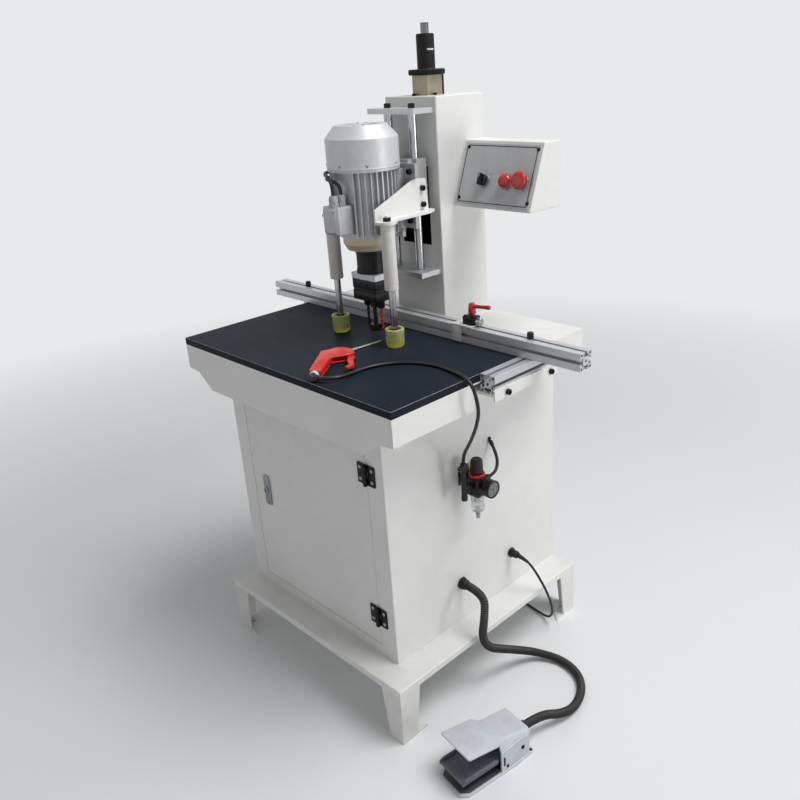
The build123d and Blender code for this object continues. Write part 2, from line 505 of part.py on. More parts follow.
def clamp_pieces():
    """Clamp arms, cylinders, rods, pads and the bolts of the head."""
    flange_z, round_r, web_t, neck_d = (1132, 1138), 21, 4, 10
    front, rear = Vector(90, -84, 0), Vector(68, 104, 0)
    inward = Vector(-188, -22, 0).normalized()

    def on_web(y, z, depth=0):
        """Point of the splayed web's outer face, or deeper in it."""
        share = (rear.Y - y) / (rear.Y - front.Y)
        return rear + (front - rear) * share + Vector(0, 0, z) + inward * depth

    def clamp_arm(at, nose_y, nose_z, corner):
        """Right-hand arm for a clamp at a distance from the middle, with its web's nose and shelf corner."""
        edge = [on_web(y, 0, web_t) for y in (104, nose_y)]
        shelf = [(point.X, point.Y) for point in edge]
        shelf += [(at, -84), corner, (100, -27), (96, 81), (83, 108)]
        arm = prism_xy(shelf, flange_z) + rod(at, CLAMP_Y, flange_z, 2 * round_r)
        arm -= rod(0, AXIS_Y, flange_z, 2 * FIN_R + 2.4) + rod(at, CLAMP_Y, (1130, 1140), neck_d)
        outline = [(nose_y, 1132), (nose_y, nose_z), (58, 1212), (98, 1208), (104, 1132)]
        arm += prism([on_web(y, z) for y, z in outline], inward, web_t)
        pad = [on_web(y, 0, web_t) for y in (80, 102)]
        wedge = [(SLIDE_X, 80)] + [(point.X, point.Y) for point in pad] + [(SLIDE_X, 102)]
        return arm + prism_xy(wedge, (1138, 1206))

    tube_z, bore_z, bore_d = (984, 1132), (996, 1122), 25
    pad_z = (850.3, 893)

    def clamp(at):
        """Cylinder, rod, pad and nut of one right-hand clamp."""
        tube = rod(at, CLAMP_Y, tube_z, CLAMP_D) + rod(at, CLAMP_Y, (1132, 1150), neck_d)
        tube -= rod(at, CLAMP_Y, bore_z, bore_d)
        tube -= rod(at, CLAMP_Y, (980, 1000), CLAMP_ROD + RUN_FIT)
        pad = Pos(at, CLAMP_Y, (pad_z[0] + pad_z[1]) / 2) * Cone(20, 22.5, pad_z[1] - pad_z[0])
        pad = fillet(pad.edges(), 2)
        pad -= rod(at, CLAMP_Y, (pad_z[1] - 12, pad_z[1] + 1), 30)
        pad -= rod(at, CLAMP_Y, (862, pad_z[1]), CLAMP_ROD)
        push = rod(at, CLAMP_Y, (862, 1012), CLAMP_ROD)
        push += rod(at, CLAMP_Y, (1000, 1014), bore_d - RUN_FIT)
        push += rod(at, CLAMP_Y, (pad_z[1] - 12, pad_z[1] - 4), 25)
        nut = Pos(at, CLAMP_Y, flange_z[1]) * extrude(RegularPolygon(9, 6), 8)
        return tube, push, pad, nut - rod(at, CLAMP_Y, (1130, 1160), neck_d)

    right = clamp(CLAMP_RIGHT)
    left = [flip(shape) for shape in clamp(CLAMP_LEFT)]
    left_arm = flip(clamp_arm(CLAMP_LEFT, -38, 1179, (112, -52)))
    save("clamp_arms", clamp_arm(CLAMP_RIGHT, -84, 1163, (122, -50)), left_arm)
    save("clamp_cylinders", right[0], left[0])
    for side, shapes in (("right", right), ("left", left)):
        save(f"{side}_clamp_rod", shapes[1])
        save(f"{side}_clamp_pad", shapes[2])
    seats = [Plane(origin=on_web(81, z, -4), z_dir=-inward) for z in (1151, 1188)]
    bolts = [seat * Cylinder(6.5, 8) for seat in seats]
    plate_bolts = [rod_y(x, (44, 52), z, 13) for x, z in ((66, 1228), (62, 1117), (-62, 1117))]
    save("head_bolts", *bolts, *[flip(bolt) for bolt in bolts], right[3], left[3], *plate_bolts)


def control_pieces():
    """Control box, panel, selector and buttons."""
    wall = 3
    side = [(BOX_BACK, BOX_LOW[1]), BOX_LOW, BOX_TOP, (BOX_BACK, BOX_TOP[1])]
    box = fillet(prism_yz(side, BOX_X).edges(), 2)
    long_x, long_v = BOX_X[1] - BOX_X[0], math.dist(BOX_TOP, BOX_LOW)
    hollow = [(BOX_BACK - wall, BOX_LOW[1] + wall), (BOX_LOW[0] + 5, BOX_LOW[1] + wall),
              (BOX_TOP[0] + 3, BOX_TOP[1] - wall), (BOX_BACK - wall, BOX_TOP[1] - wall)]
    box -= prism_yz(hollow, (BOX_X[0] + wall, BOX_X[1] - wall))
    cut_x, cut_v = long_x - 50, long_v - 50
    box -= PANEL * Pos(long_x / 2, long_v / 2) * Box(cut_x, cut_v, 16)
    save("control_box", box)

    margin = 7
    sheet = Box(long_x - 2 * margin, long_v - 2 * margin, PANEL_LIFT)
    plate = PANEL * Pos(long_x / 2, long_v / 2, PANEL_LIFT / 2) * sheet
    rings = []
    for (u, v), ring_d, stem_d in ((SELECTOR, 32, 14), (START, 36, 16), (ESTOP, 32, 16)):
        plate -= PANEL * Pos(u, v) * Cylinder(stem_d / 2 + 0.1, 12)
        ring = PANEL * Pos(u, v, PANEL_LIFT + 2) * Cylinder(ring_d / 2, 4)
        rings.append(ring - PANEL * Pos(u, v, PANEL_LIFT + 2) * Cylinder(stem_d / 2 + 0.1, 6))
    save("control_panel", plate, *rings)

    def button(at, stem_d, head, low):
        """Head on a stem that runs through the panel."""
        stem = PANEL * Pos(*at, (low - 14) / 2) * Cylinder(stem_d / 2, low + 14)
        return stem + PANEL * Pos(*at, low) * head

    base = PANEL_LIFT + 4
    knob = Pos(0, 0, 5) * Cylinder(13, 10) + Pos(0, 0, 14) * Box(9, 27, 9)
    save("selector_knob", button(SELECTOR, 14, knob, base + 0.3))
    dome = Pos(0, 0, -6) * Sphere(18) & Pos(0, 0, 8) * Cylinder(16.5, 16)
    save("start_button", button(START, 16, dome, base + 5))
    cap = fillet(Cylinder(20, 12).edges().group_by(Axis.Z)[-1], 4)
    save("estop_button", button(ESTOP, 16, Pos(0, 0, 6) * cap, base + 8))


def air_pieces():
    """Regulator with bowl and fittings, air lines, blow gun and trigger."""
    x0 = CAB_X[1]
    square = 42 / 2
    body = block((AIR_X - square, AIR_X + square), (AIR_Y - square, AIR_Y + square), (522, 566))
    body = fillet(body.edges().filter_by(Axis.Z), 4)
    ring = rod(AIR_X, AIR_Y, (566, 575), 38)
    mount = block((x0, x0 + 3), (-42, -14), (530, 566)) + block((x0, AIR_X - square), (-41, -15), (538, 556))
    mount += block((285, 288), (-38, -14), (550, 592))
    gauge = rod_x((AIR_X + square, 343), AIR_Y, 547, 12) + rod_x((343, 363), AIR_Y, 547, 43)
    save("regulator_body", body, ring, mount, gauge)
    bowl = rod(AIR_X, AIR_Y, (474, 522), 38)
    bowl = fillet(bowl.edges().group_by(Axis.Z)[0], 10) + rod(AIR_X, AIR_Y, (455, 476), 11)
    save("filter_bowl", bowl - rod(AIR_X, AIR_Y, (484, 522), 33))
    knob = rod(AIR_X, AIR_Y, (577, 611), 31)
    knob = fillet(knob.edges().group_by(Axis.Z)[-1], 3)
    save("regulator_knob", knob + rod(AIR_X, AIR_Y, (575.3, 577), 24))

    riser_z, branch_y, branch_z = (521, 616), RISER_Y - 15, 606
    inlet = rod_y(AIR_X, (RISER_Y, AIR_Y - square), 547, 14) + rod(AIR_X, RISER_Y, riser_z, 15)
    inlet += rod_y(AIR_X, (branch_y, RISER_Y), branch_z, 13)
    inlet -= rod_y(AIR_X, (branch_y, branch_y + 14), branch_z, AIR_D + RUN_FIT)
    outlet = rod_y(AIR_X, (AIR_Y + square, AIR_TUBE[0][1]), 547, 15)
    wall_end = rod_x((x0 - 12, x0 + 4), *AIR_ENTRY, 10)
    tube_end, tube_last = Vector(*AIR_TUBE[-1]), Vector(*AIR_TUBE[-2])
    upward = (tube_end - tube_last).normalized()
    wall_end += Plane(origin=tube_end + upward * 6, z_dir=upward) * Cylinder(5, 12)
    butt, away, across = Vector(121, -312, GUN_MID), Vector(0.504, -0.864, 0), Vector(0.864, 0.504, 0)
    collar = Plane(origin=butt + away * 4, z_dir=away) * Cylinder(9.5, 8)
    elbow = Plane(origin=butt + away * 16, z_dir=away) * Cylinder(7.5, 16)
    elbow += Plane(origin=Vector(*AIR_HOSE[0]) - across * 7.1, z_dir=across) * Cylinder(7, 14)
    save("air_fittings", inlet, outlet, wall_end, collar, elbow)
    save("air_tube", cord("air tube", AIR_TUBE, AIR_D))
    save("air_hose", cord("air hose", AIR_HOSE, AIR_D))

    outline = [(109, -319), (74, -276), (43, -238), (29, -224), (38, -208), (38, -186), (51, -173),
               (76, -170), (99, -179), (99, -200), (80, -236), (103, -263), (133, -305)]
    gun = prism_xy(outline, GUN_Z)
    gun = fillet(gun.edges().filter_by(Axis.Z), 4)
    gun = chamfer(gun.edges().group_by(Axis.Z)[0] + gun.edges().group_by(Axis.Z)[-1], 3)
    blade_z, pin_d, slot_d = (GUN_MID - 4.5, GUN_MID + 4.5), 4, 36
    gun -= rod(*PIVOT, (blade_z[0] - 0.5, blade_z[1] + 0.5), slot_d)
    gun += rod(*PIVOT, (GUN_Z[0] + 1, GUN_Z[1] - 1), pin_d)
    tip = Vector(71, -78, GUN_MID)
    root = Vector(64, -172, GUN_MID)
    nozzle = Plane(origin=(tip + root) / 2, z_dir=tip - root) * Cone(5, 2.6, (tip - root).length)
    save("gun_body", gun, nozzle)
    blade = prism_xy([(97, -182), (122, -206), (149, -226), (149, -247), (141, -248), (139, -233),
                      (113, -217), (94, -199)], blade_z)
    blade += rod(*PIVOT, blade_z, 14)
    save("gun_trigger", blade - rod(*PIVOT, (845, 880), pin_d + RUN_FIT))


def case_section(y, widths, levels):
    """Hipped cross section of the foot switch case, from its half widths and levels."""
    right = [(x, y, z) for x, z in zip(widths, levels)]
    left = [(-x, y, z) for x, y, z in reversed(right)]
    return make_face(Polyline(*right, *left, close=True))


def pedal_pieces():
    """Foot switch housing with its hipped case and toe guard, and the treadle."""
    skin, floor_z = CASE_SKIN, 6
    base = [(35, -103), (PEDAL_X, -85), (PEDAL_X, 50), (43, 107)]
    housing = prism_xy(base + [(-x, y) for x, y in reversed(base)], (0, floor_z))
    housing += loft([case_section(*row) for row in zip(CASE_Y, CASE_WIDE, CASE_HIGH)], ruled=True)
    inner_y = (CASE_Y[0] - 0.5, CASE_Y[1] - skin)
    inner_x = [[x - skin for x in row] for row in CASE_WIDE]
    inner_z = [(floor_z, row[1] - skin / 2, row[2] - skin) for row in CASE_HIGH]
    housing -= loft([case_section(*row) for row in zip(inner_y, inner_x, inner_z)], ruled=True)
    fall = (CASE_HIGH[0][2] - CASE_HIGH[1][2]) / (CASE_Y[1] - CASE_Y[0])
    roof = Plane(origin=(0, CASE_Y[0], CASE_HIGH[0][2]), x_dir=(1, 0, 0), z_dir=(0, fall, 1))
    guard = [(GUARD_X, -93), (GUARD_X, -9), (36, 5), (36, 18)]
    plate = make_face(Polyline(*guard, *[(-x, s) for x, s in reversed(guard)], close=True))
    housing += extrude(roof * plate, -CASE_SKIN)
    pin_d, pin_half = 6, 41
    housing += rod_x(half(pin_half), TREADLE_Y, TREADLE_Z, pin_d)
    stub_x, stub_z = 8, 48
    housing += rod_y(stub_x, (CASE_Y[1], CASE_Y[1] + 18), stub_z, 28)
    save("pedal_housing", PEDAL * housing)
    front_x, rear_x, lip = 41, 36, 3
    tray_z, lip_z = (TREADLE_Z - 3, TREADLE_Z + 1), (TREADLE_Z - 6, TREADLE_Z + 9)
    tray = [(front_x, -97), (front_x, 4), (rear_x, 8), (rear_x, TREADLE_Y)]
    treadle = prism_xy(tray + [(-x, y) for x, y in reversed(tray)], tray_z)
    for span in ((front_x - lip, front_x), (-front_x, lip - front_x)):
        treadle += block(span, (-97, 4), lip_z)
    treadle += rod_x(half(rear_x), TREADLE_Y, TREADLE_Z, 14)
    rib_z = (tray_z[1], tray_z[1] + 1.5)
    treadle += [block(half(front_x - lip - 3), (y, y + 4), rib_z) for y in range(-86, -10, 9)]
    save("pedal_treadle", PEDAL * (treadle - rod_x(half(rear_x + 1), TREADLE_Y, TREADLE_Z, pin_d + RUN_FIT)))


def along(path, distance):
    """Point and direction on a path at a distance from its start."""
    part = min(max(distance / path.length, 0), 1)
    return path @ part, path % part


def ribbed_tube(points):
    """Conduit whose ribs are lofted through four circles each, with its bore."""
    path = cord_path(points)
    count = int((path.length - 2 * CONDUIT_D) / RIB_PITCH)
    start = (path.length - count * RIB_PITCH) / 2
    crest, valley = CONDUIT_D / 2, CONDUIT_D / 2 - RIB_DEPTH
    stations = [(0, valley)]
    for i in range(count):
        for share, radius in ((0.1, valley), (0.3, crest), (0.7, crest), (0.9, valley)):
            stations.append((start + (i + share) * RIB_PITCH, radius))
    stations.append((path.length, valley))
    steady = Vector(0, 0, 1)
    rings = []
    for distance, radius in stations:
        place, heading = along(path, distance)
        steady = (steady - heading * steady.dot(heading)).normalized()
        frame = Plane(origin=place, x_dir=steady, z_dir=heading)
        rings.append(frame * Circle(radius))
    hose = loft(rings, ruled=True)
    hose -= sweep(Plane(origin=path @ 0, z_dir=path % 0) * Circle(CONDUIT_BORE / 2), path=path)
    print("conduit length", round(path.length), "ribs", count,
          "least radius", round(min(turn_radii(points)), 1))
    return hose


def coil_point(turns):
    """Middle of the coiled cable after a number of turns."""
    rate = COIL_PITCH
    if turns < COIL_TURNS:
        radius, z = COIL_R - rate * turns, COIL_LOW
    elif turns < COIL_TURNS + 0.5:
        s = (turns - COIL_TURNS) * 2
        radius = COIL_R - rate * COIL_TURNS - rate * 0.5 * s * (1 - s)
        z = COIL_LOW + COIL_PITCH * (3 * s * s - 2 * s ** 3)
    else:
        radius = COIL_R - rate * (2 * COIL_TURNS + 0.5 - turns)
        z = COIL_LOW + COIL_PITCH
    angle = math.pi / 2 + 2 * math.pi * turns
    return Vector(COIL_AT[0] + radius * math.cos(angle), COIL_AT[1] + radius * math.sin(angle), z)


def biarc(p0, t0, p1, t1):
    """Two arcs that join two points along their directions."""
    v = p1 - p0
    t = t0 + t1
    a, b, c = 2 * (1 - t0.dot(t1)), 2 * v.dot(t), -v.dot(v)
    d = (-b + math.sqrt(b * b - 4 * a * c)) / (2 * a) if a > 1e-9 else -c / b
    joint = (p0 + t0 * d + p1 - t1 * d) / 2
    first = TangentArc(p0, joint, tangent=t0)
    return [first, TangentArc(joint, p1, tangent=first % 1)]


def coil_pieces():
    """Coiled rest of the power cable with its tie, and the plug."""
    total = 2 * COIL_TURNS + 0.5
    step = 1e-4
    knots = [i / 4 for i in range(int(total * 4) + 1)]
    climb = COIL_TURNS
    knots = sorted(set(knots + [climb + i / 8 for i in range(5)]))
    points = [coil_point(t) for t in knots]
    headings = []
    for t in knots:
        low, high = max(t - step, 0), min(t + step, total)
        headings.append((coil_point(high) - coil_point(low)).normalized())
    lead_in, lead_out = points[0] - headings[0] * CABLE_D, points[-1] + headings[-1] * COIL_TAIL
    edges = [Line(lead_in, points[0])]
    for i in range(len(knots) - 1):
        edges += biarc(points[i], headings[i], points[i + 1], headings[i + 1])
    edges.append(Line(points[-1], lead_out))
    path = Wire(edges)
    tube = sweep(Plane(origin=lead_in, z_dir=headings[0]) * Circle(CABLE_D / 2), path=path)
    fine = [path @ (i / 1200) for i in range(1201)]
    apart = int(1200 * 40 / path.length)
    gap = min((fine[i] - fine[j]).length for i in range(1201) for j in range(i + apart, 1201)) - CABLE_D
    expected = math.pi * CABLE_D ** 2 / 4 * path.length
    print("coil length", round(path.length), "least gap", round(gap, 2),
          "volume ratio", round(tube.volume / expected, 4))
    r_in, r_out, high = COIL_R - COIL_PITCH * COIL_TURNS - 8, COIL_R + 6, COIL_LOW + COIL_PITCH + 6
    x0, y0 = COIL_AT
    band = block((x0 - r_out, x0 - r_in), (y0 - 8, y0 + 8), (0.2, high))
    band -= block((x0 - r_out + 1, x0 - r_in - 1), (y0 - 9, y0 + 9), (1.2, high - 1))
    save("cable_coil", tube, band)
    arrival = [tuple(lead_in - headings[0] * COIL_RUN), tuple(lead_in)]
    print("cable ends at", arrival, "coil ends at", tuple(lead_out))
    save("power_cable", cord("power cable", POWER_CABLE + arrival, CABLE_D))
    plug = Pos(0, 0, 7) * Cylinder(8, 14)
    plug += Pos(0, 0, 12) * extrude(RectangleRounded(20, 34, 8), 40)
    plug += [Pos(0, side, 61.5) * Cylinder(2.4, 19) for side in (-9.5, 9.5)]
    save("plug", Plane(origin=lead_out, x_dir=(0, 0, 1), z_dir=headings[-1]) * plug)


def gland(y, z, end, outer_d, wide_d):
    """Cable gland on the right cabinet wall."""
    x0 = CAB_X[1]
    hexagon = Plane(origin=(x0, y, z), z_dir=(1, 0, 0)) * RegularPolygon(wide_d / 2, 6)
    return extrude(hexagon, 8) + rod_x((x0, end), y, z, outer_d) + rod_x((x0 - 12, x0), y, z, outer_d - 10)


def screw_pieces():
    """Screws of the panel, brackets, table and rail."""
    screws = [PANEL * Pos(u, v, PANEL_LIFT + 1.5) * Cylinder(4.5, 3) for u, v in PANEL_SCREWS]
    for x in (-ROD_X, ROD_X):
        screws.append(rod(x, ROD_Y, (BRACKET_LEVELS[1][1], BRACKET_LEVELS[1][1] + 10), 16))
        screws.append(rod(x, ROD_Y, (BRACKET_LEVELS[0][0] - 10, BRACKET_LEVELS[0][0]), 16))
    lip = TABLE_X + PROFILE + 4.5
    screws += [rod_x((lip, lip + 8), y, BOARD_Z[1] - PROFILE - 1, 13) for y in RAIL_BOLTS]
    screws += [rod(x, -305, (BOARD_Z[1], BOARD_Z[1] + 1.5), 9) for x in (-345, 345)]
    screws += [rod(x, y, (CAP_TOP, CAP_TOP + 5), 9) for x, y in HEAD_SCREWS]
    save("machine_screws", *screws)


def main():
    """Write every piece of the machine."""
    os.makedirs("parts", exist_ok=True)
    base_pieces()
    cabinet_pieces()
    table_pieces()
    fence_pieces()
    column_pieces()
    head_pieces()
    control_pieces()
    air_pieces()
    pedal_pieces()
    screw_pieces()
    save("cable_glands", gland(-45, 259, 284, 26, 32), gland(145, 252, 290, 20, 26))
    save("conduit", ribbed_tube(CONDUIT))
    coil_pieces()


main()
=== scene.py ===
"""Dressed model of a floor-standing hinge boring machine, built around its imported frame.

Lengths are millimetres in the frame of the machine until a mesh is made, which is in metres.
"""

from __future__ import annotations

import json
import logging
import math
from dataclasses import dataclass, field, replace
from enum import Enum

import bmesh
import bpy
import numpy as np
from mathutils import Matrix, Vector

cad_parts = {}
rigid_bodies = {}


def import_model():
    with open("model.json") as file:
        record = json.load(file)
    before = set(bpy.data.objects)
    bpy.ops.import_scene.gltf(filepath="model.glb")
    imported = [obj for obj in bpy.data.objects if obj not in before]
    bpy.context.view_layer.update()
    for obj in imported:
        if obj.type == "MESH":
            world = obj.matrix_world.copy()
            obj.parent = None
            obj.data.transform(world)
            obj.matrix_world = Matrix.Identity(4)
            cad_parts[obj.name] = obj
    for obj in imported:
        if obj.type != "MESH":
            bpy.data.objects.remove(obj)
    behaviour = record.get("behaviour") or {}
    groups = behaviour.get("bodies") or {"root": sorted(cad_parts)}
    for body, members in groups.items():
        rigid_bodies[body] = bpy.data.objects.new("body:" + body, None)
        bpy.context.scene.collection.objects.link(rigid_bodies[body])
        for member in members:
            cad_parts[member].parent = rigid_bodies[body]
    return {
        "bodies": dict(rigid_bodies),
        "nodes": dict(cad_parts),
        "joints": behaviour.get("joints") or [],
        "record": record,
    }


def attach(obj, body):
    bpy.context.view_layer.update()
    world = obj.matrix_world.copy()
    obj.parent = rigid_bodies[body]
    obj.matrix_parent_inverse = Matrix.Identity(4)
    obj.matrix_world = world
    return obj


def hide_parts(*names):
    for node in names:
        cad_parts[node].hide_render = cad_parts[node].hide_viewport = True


LOG = logging.getLogger("boring_machine")
Array = np.ndarray
Tone = tuple[float, float, float]
Point = tuple[float, float, float]
MM = 0.001
TURN = 2 * math.pi
SHARP = 35.0
MERGE, SLIVER = 2e-6, 1e-7
BUMP_REACH, COAT_ROUGH = 0.0006, 0.12
SCUFF_SCALE, SCUFF_ROUGH = 40.0, 0.6
DUST_TONE, DUST_ROUGH = (0.66, 0.64, 0.60), 0.75


@dataclass(frozen=True)
class Place:
    """Local frame of a shape: an origin and three unit directions."""

    origin: Point = (0.0, 0.0, 0.0)
    x: Point = (1.0, 0.0, 0.0)
    y: Point = (0.0, 1.0, 0.0)
    z: Point = (0.0, 0.0, 1.0)

    def put(self, points: Array) -> Array:
        """Points of the local frame in the machine's frame."""
        return np.asarray(self.origin, float) + points @ np.array([self.x, self.y, self.z], float)

    def at(self, x: float, y: float, z: float) -> Place:
        """The same frame with its origin moved to a local point."""
        return Place(tuple(self.put(np.array([x, y, z], float))), self.x, self.y, self.z)

    def spun(self, degrees: float) -> Place:
        """The same frame turned about its own z."""
        c, s = math.cos(math.radians(degrees)), math.sin(math.radians(degrees))
        x, y = np.array(self.x, float), np.array(self.y, float)
        return Place(self.origin, tuple(c * x + s * y), tuple(c * y - s * x), self.z)


def facing(origin: Point, way: Point) -> Place:
    """Frame whose local z looks a given way.

    Args:
        origin: Origin of the frame.
        way: Direction of local z, of any length.

    Returns:
        The frame.
    """
    z = np.asarray(way, float) / np.linalg.norm(way)
    side = np.cross((0.0, 0.0, 1.0) if abs(z[2]) < 0.9 else (0.0, 1.0, 0.0), z)
    side /= np.linalg.norm(side)
    return Place(origin, tuple(side), tuple(np.cross(z, side)), tuple(z))


UP = Place()


def upright(x: float, y: float, z: float = 0.0) -> Place:
    """Frame with its axes along the machine's own."""
    return Place((x, y, z))


def frontal(x: float, y: float, z: float) -> Place:
    """Frame that looks to the front: local x to the right, local y up."""
    return Place((x, y, z), (1, 0, 0), (0, 0, 1), (0, -1, 0))


def rightward(x: float, y: float, z: float) -> Place:
    """Frame that looks to the right: local x to the rear, local y up."""
    return Place((x, y, z), (0, 1, 0), (0, 0, 1), (1, 0, 0))


def ring_angles(steps: int) -> Array:
    """Evenly spaced angles of a full turn."""
    return np.linspace(0, TURN, steps, endpoint=False)


def many_sided(sides: int, steps: int) -> Array:
    """Polar radius of a regular polygon of outer radius 1.

    With the sides k the radius is cos(pi/k) over the cosine of the angle from the nearest side's middle.

    Args:
        sides: Number of sides.
        steps: Number of angles.

    Returns:
        One radius for each angle.
    """
    part = TURN / sides
    return math.cos(part / 2) / np.cos(ring_angles(steps) % part - part / 2)


def grips(count: int, depth: float, steps: int) -> Array:
    """Polar radius with hollows: 1 less depth times the square of half a cosine wave per hollow."""
    return 1 - depth * (0.5 - 0.5 * np.cos(count * ring_angles(steps))) ** 2


def turned(profile: list[tuple[float, float]], steps: int = 48, shape: Array | float = 1.0) -> Array:
    """Profile of radius and height turned about local z.

    The point of row i at angle t is (r_i g cos t, r_i g sin t, z_i), where g is the shape's factor.

    Args:
        profile: Radius and height of each row.
        steps: Points around.
        shape: Factor on the radius, one number, one per angle, or one per row and angle.

    Returns:
        Grid of points, rows by angles.
    """
    rows = np.asarray(profile, float)
    angles = ring_angles(steps)
    radius = rows[:, :1] * np.broadcast_to(shape, (len(rows), steps))
    height = np.broadcast_to(rows[:, 1:], (len(rows), steps))
    return np.stack([radius * np.cos(angles), radius * np.sin(angles), height], -1)


def on_rows(rows: list[int], count: int, factor: Array) -> Array:
    """Shape table that uses a factor on some rows of a profile and 1 on the rest."""
    picked = np.isin(np.arange(count), rows)[:, None]
    return np.where(picked, factor[None, :], 1.0)


def rounded(corners: list[tuple[float, float]], reach: float, steps: int = 5) -> Array:
    """Closed outline with its corners eased.

    Each corner p with unit directions u, w to its neighbours becomes p + d (u (1-t)^2 + w t^2), where the
    setback d is at most 0.45 of the shorter side.

    Args:
        corners: Corner points in order.
        reach: Setback along the sides.
        steps: Points of each eased corner.

    Returns:
        Points of the outline, anticlockwise.
    """
    here = np.asarray(corners, float)
    before, after = np.roll(here, 1, 0) - here, np.roll(here, -1, 0) - here
    long_before = np.linalg.norm(before, axis=1, keepdims=True)
    long_after = np.linalg.norm(after, axis=1, keepdims=True)
    set_back = np.minimum(reach, 0.45 * np.minimum(long_before, long_after))
    t = np.linspace(0, 1, steps)[None, :, None]
    start, end = before / long_before * set_back, after / long_after * set_back
    line = (here[:, None] + start[:, None] * (1 - t) ** 2 + end[:, None] * t**2).reshape(-1, 2)
    area = np.sum(line[:, 0] * np.roll(line[:, 1], -1) - line[:, 1] * np.roll(line[:, 0], -1))
    return line if area > 0 else line[::-1]


def oblong(half_x: float, half_y: float, reach: float, steps: int = 5) -> Array:
    """Rectangle about the origin with eased corners."""
    return rounded([(-half_x, -half_y), (half_x, -half_y), (half_x, half_y), (-half_x, half_y)], reach, steps)


def outward(outline: Array) -> Array:
    """Unit normals of an anticlockwise outline, from the chord between each point's neighbours."""
    chord = np.roll(outline, -1, 0) - np.roll(outline, 1, 0)
    normal = np.stack([chord[:, 1], -chord[:, 0]], -1)
    return normal / np.maximum(np.linalg.norm(normal, axis=1, keepdims=True), 1e-9)


def slab(outline: Array, depth: float, ease: float = 0.6, steps: int = 3, foot: float | None = None) -> Array:
    """Outline carried along local z, with quarter-round rims.

    A rim row at angle a is inset by ease (1 - sin a) and stands ease (1 - cos a) from the end face.

    Args:
        outline: Anticlockwise outline.
        depth: Height along z.
        ease: Radius of the upper rim.
        steps: Rows of each rim.
        foot: Radius of the lower rim, the same as the upper one if it is left out.

    Returns:
        Grid of points, rows by outline points.
    """
    foot = ease if foot is None else foot
    a = np.linspace(0, math.pi / 2, steps)
    inset = np.concatenate([foot * (1 - np.sin(a)), (ease * (1 - np.sin(a)))[::-1]])
    height = np.concatenate([foot * (1 - np.cos(a)), depth - (ease * (1 - np.cos(a)))[::-1]])
    flat = outline[None] - inset[:, None, None] * outward(outline)[None]
    rise = np.broadcast_to(height[:, None, None], (len(height), len(outline), 1))
    return np.concatenate([flat, rise], -1)


def carried(section: Array, path: Array, aside: Point, scale: Array | float = 1.0) -> Array:
    """Section carried along a path.

    Row i is the path point plus the section's first coordinate times n and second times b, where t is the
    path's direction, n the unit of aside x t and b the unit of t x n.

    Args:
        section: Points of the section.
        path: Points of the path.
        aside: A direction that the path never runs along.
        scale: Factor on the section, one number or one per path point.

    Returns:
        Grid of points, path points by section points.
    """
    along = np.gradient(path, axis=0)
    along /= np.linalg.norm(along, axis=1, keepdims=True)
    normal = np.cross(np.asarray(aside, float), along)
    normal /= np.linalg.norm(normal, axis=1, keepdims=True)
    binormal = np.cross(along, normal)
    size = np.broadcast_to(np.asarray(scale, float), (len(path),))[:, None, None]
    spread = section[None, :, :1] * normal[:, None] + section[None, :, 1:] * binormal[:, None]
    return path[:, None] + spread * size


def polar(radius: Array | float, steps: int) -> Array:
    """Flat outline from its radius, one number or one per angle."""
    angles = ring_angles(steps)
    return np.broadcast_to(radius, (steps,))[:, None] * np.stack([np.cos(angles), np.sin(angles)], -1)


def twisted(section: Array, heights: Array, turns: float, scale: Array | float = 1.0) -> Array:
    """Section turned evenly as it rises: row i is the section times its scale, at angle 2 pi turns i/n."""
    angle = TURN * turns * np.linspace(0, 1, len(heights))[:, None]
    c, s = np.cos(angle), np.sin(angle)
    x, y = section[None, :, 0], section[None, :, 1]
    size = np.broadcast_to(np.asarray(scale, float), (len(heights),))[:, None]
    rise = np.broadcast_to(heights[:, None], (len(heights), len(section)))
    return np.stack([size * (x * c - y * s), size * (x * s + y * c), rise], -1)


class Skin:
    """Closed surfaces of one piece, gathered before they become a mesh."""

    def __init__(self) -> None:
        """Start with no surface."""
        self.points: list[Array] = []
        self.faces: list[list[int]] = []
        self.total = 0

    def add(self, grid: Array, place: Place = UP, caps: bool = True, loop: bool = False) -> Skin:
        """Add a grid whose columns close on themselves.

        Args:
            grid: Points, rows by columns by 3.
            place: Frame of the grid.
            caps: Close the first and last rows with a face.
            loop: Join the last row to the first, as on a ring.

        Returns:
            This skin.
        """
        rows, columns = grid.shape[:2]
        index = self.total + np.arange(rows * columns).reshape(rows, columns)
        lower = np.vstack([index, index[:1]]) if loop else index
        beside = np.roll(lower, -1, axis=1)
        quads = np.stack([lower[:-1], beside[:-1], beside[1:], lower[1:]], -1)
        self.faces += quads.reshape(-1, 4).tolist()
        if caps and not loop:
            self.faces += [index[0][::-1].tolist(), index[-1].tolist()]
        self.points.append(place.put(grid.reshape(-1, 3)))
        self.total += rows * columns
        return self

    def mesh(self, name: str, sharp: float = SHARP) -> bpy.types.Mesh:
        """Mesh of all surfaces with faces outwards.

        Args:
            name: Name of the mesh.
            sharp: Angle in degrees above which an edge shades sharp.

        Returns:
            The mesh, in metres.
        """
        mesh = bpy.data.meshes.new(name)
        mesh.from_pydata((np.vstack(self.points) * MM).tolist(), [], self.faces)
        work = bmesh.new()
        work.from_mesh(mesh)
        bmesh.ops.remove_doubles(work, verts=work.verts, dist=MERGE)
        bmesh.ops.dissolve_degenerate(work, edges=work.edges, dist=SLIVER)
        bmesh.ops.recalc_face_normals(work, faces=work.faces)
        work.to_mesh(mesh)
        work.free()
        mesh.shade_smooth()
        mesh.set_sharp_from_angle(angle=math.radians(sharp))
        return mesh


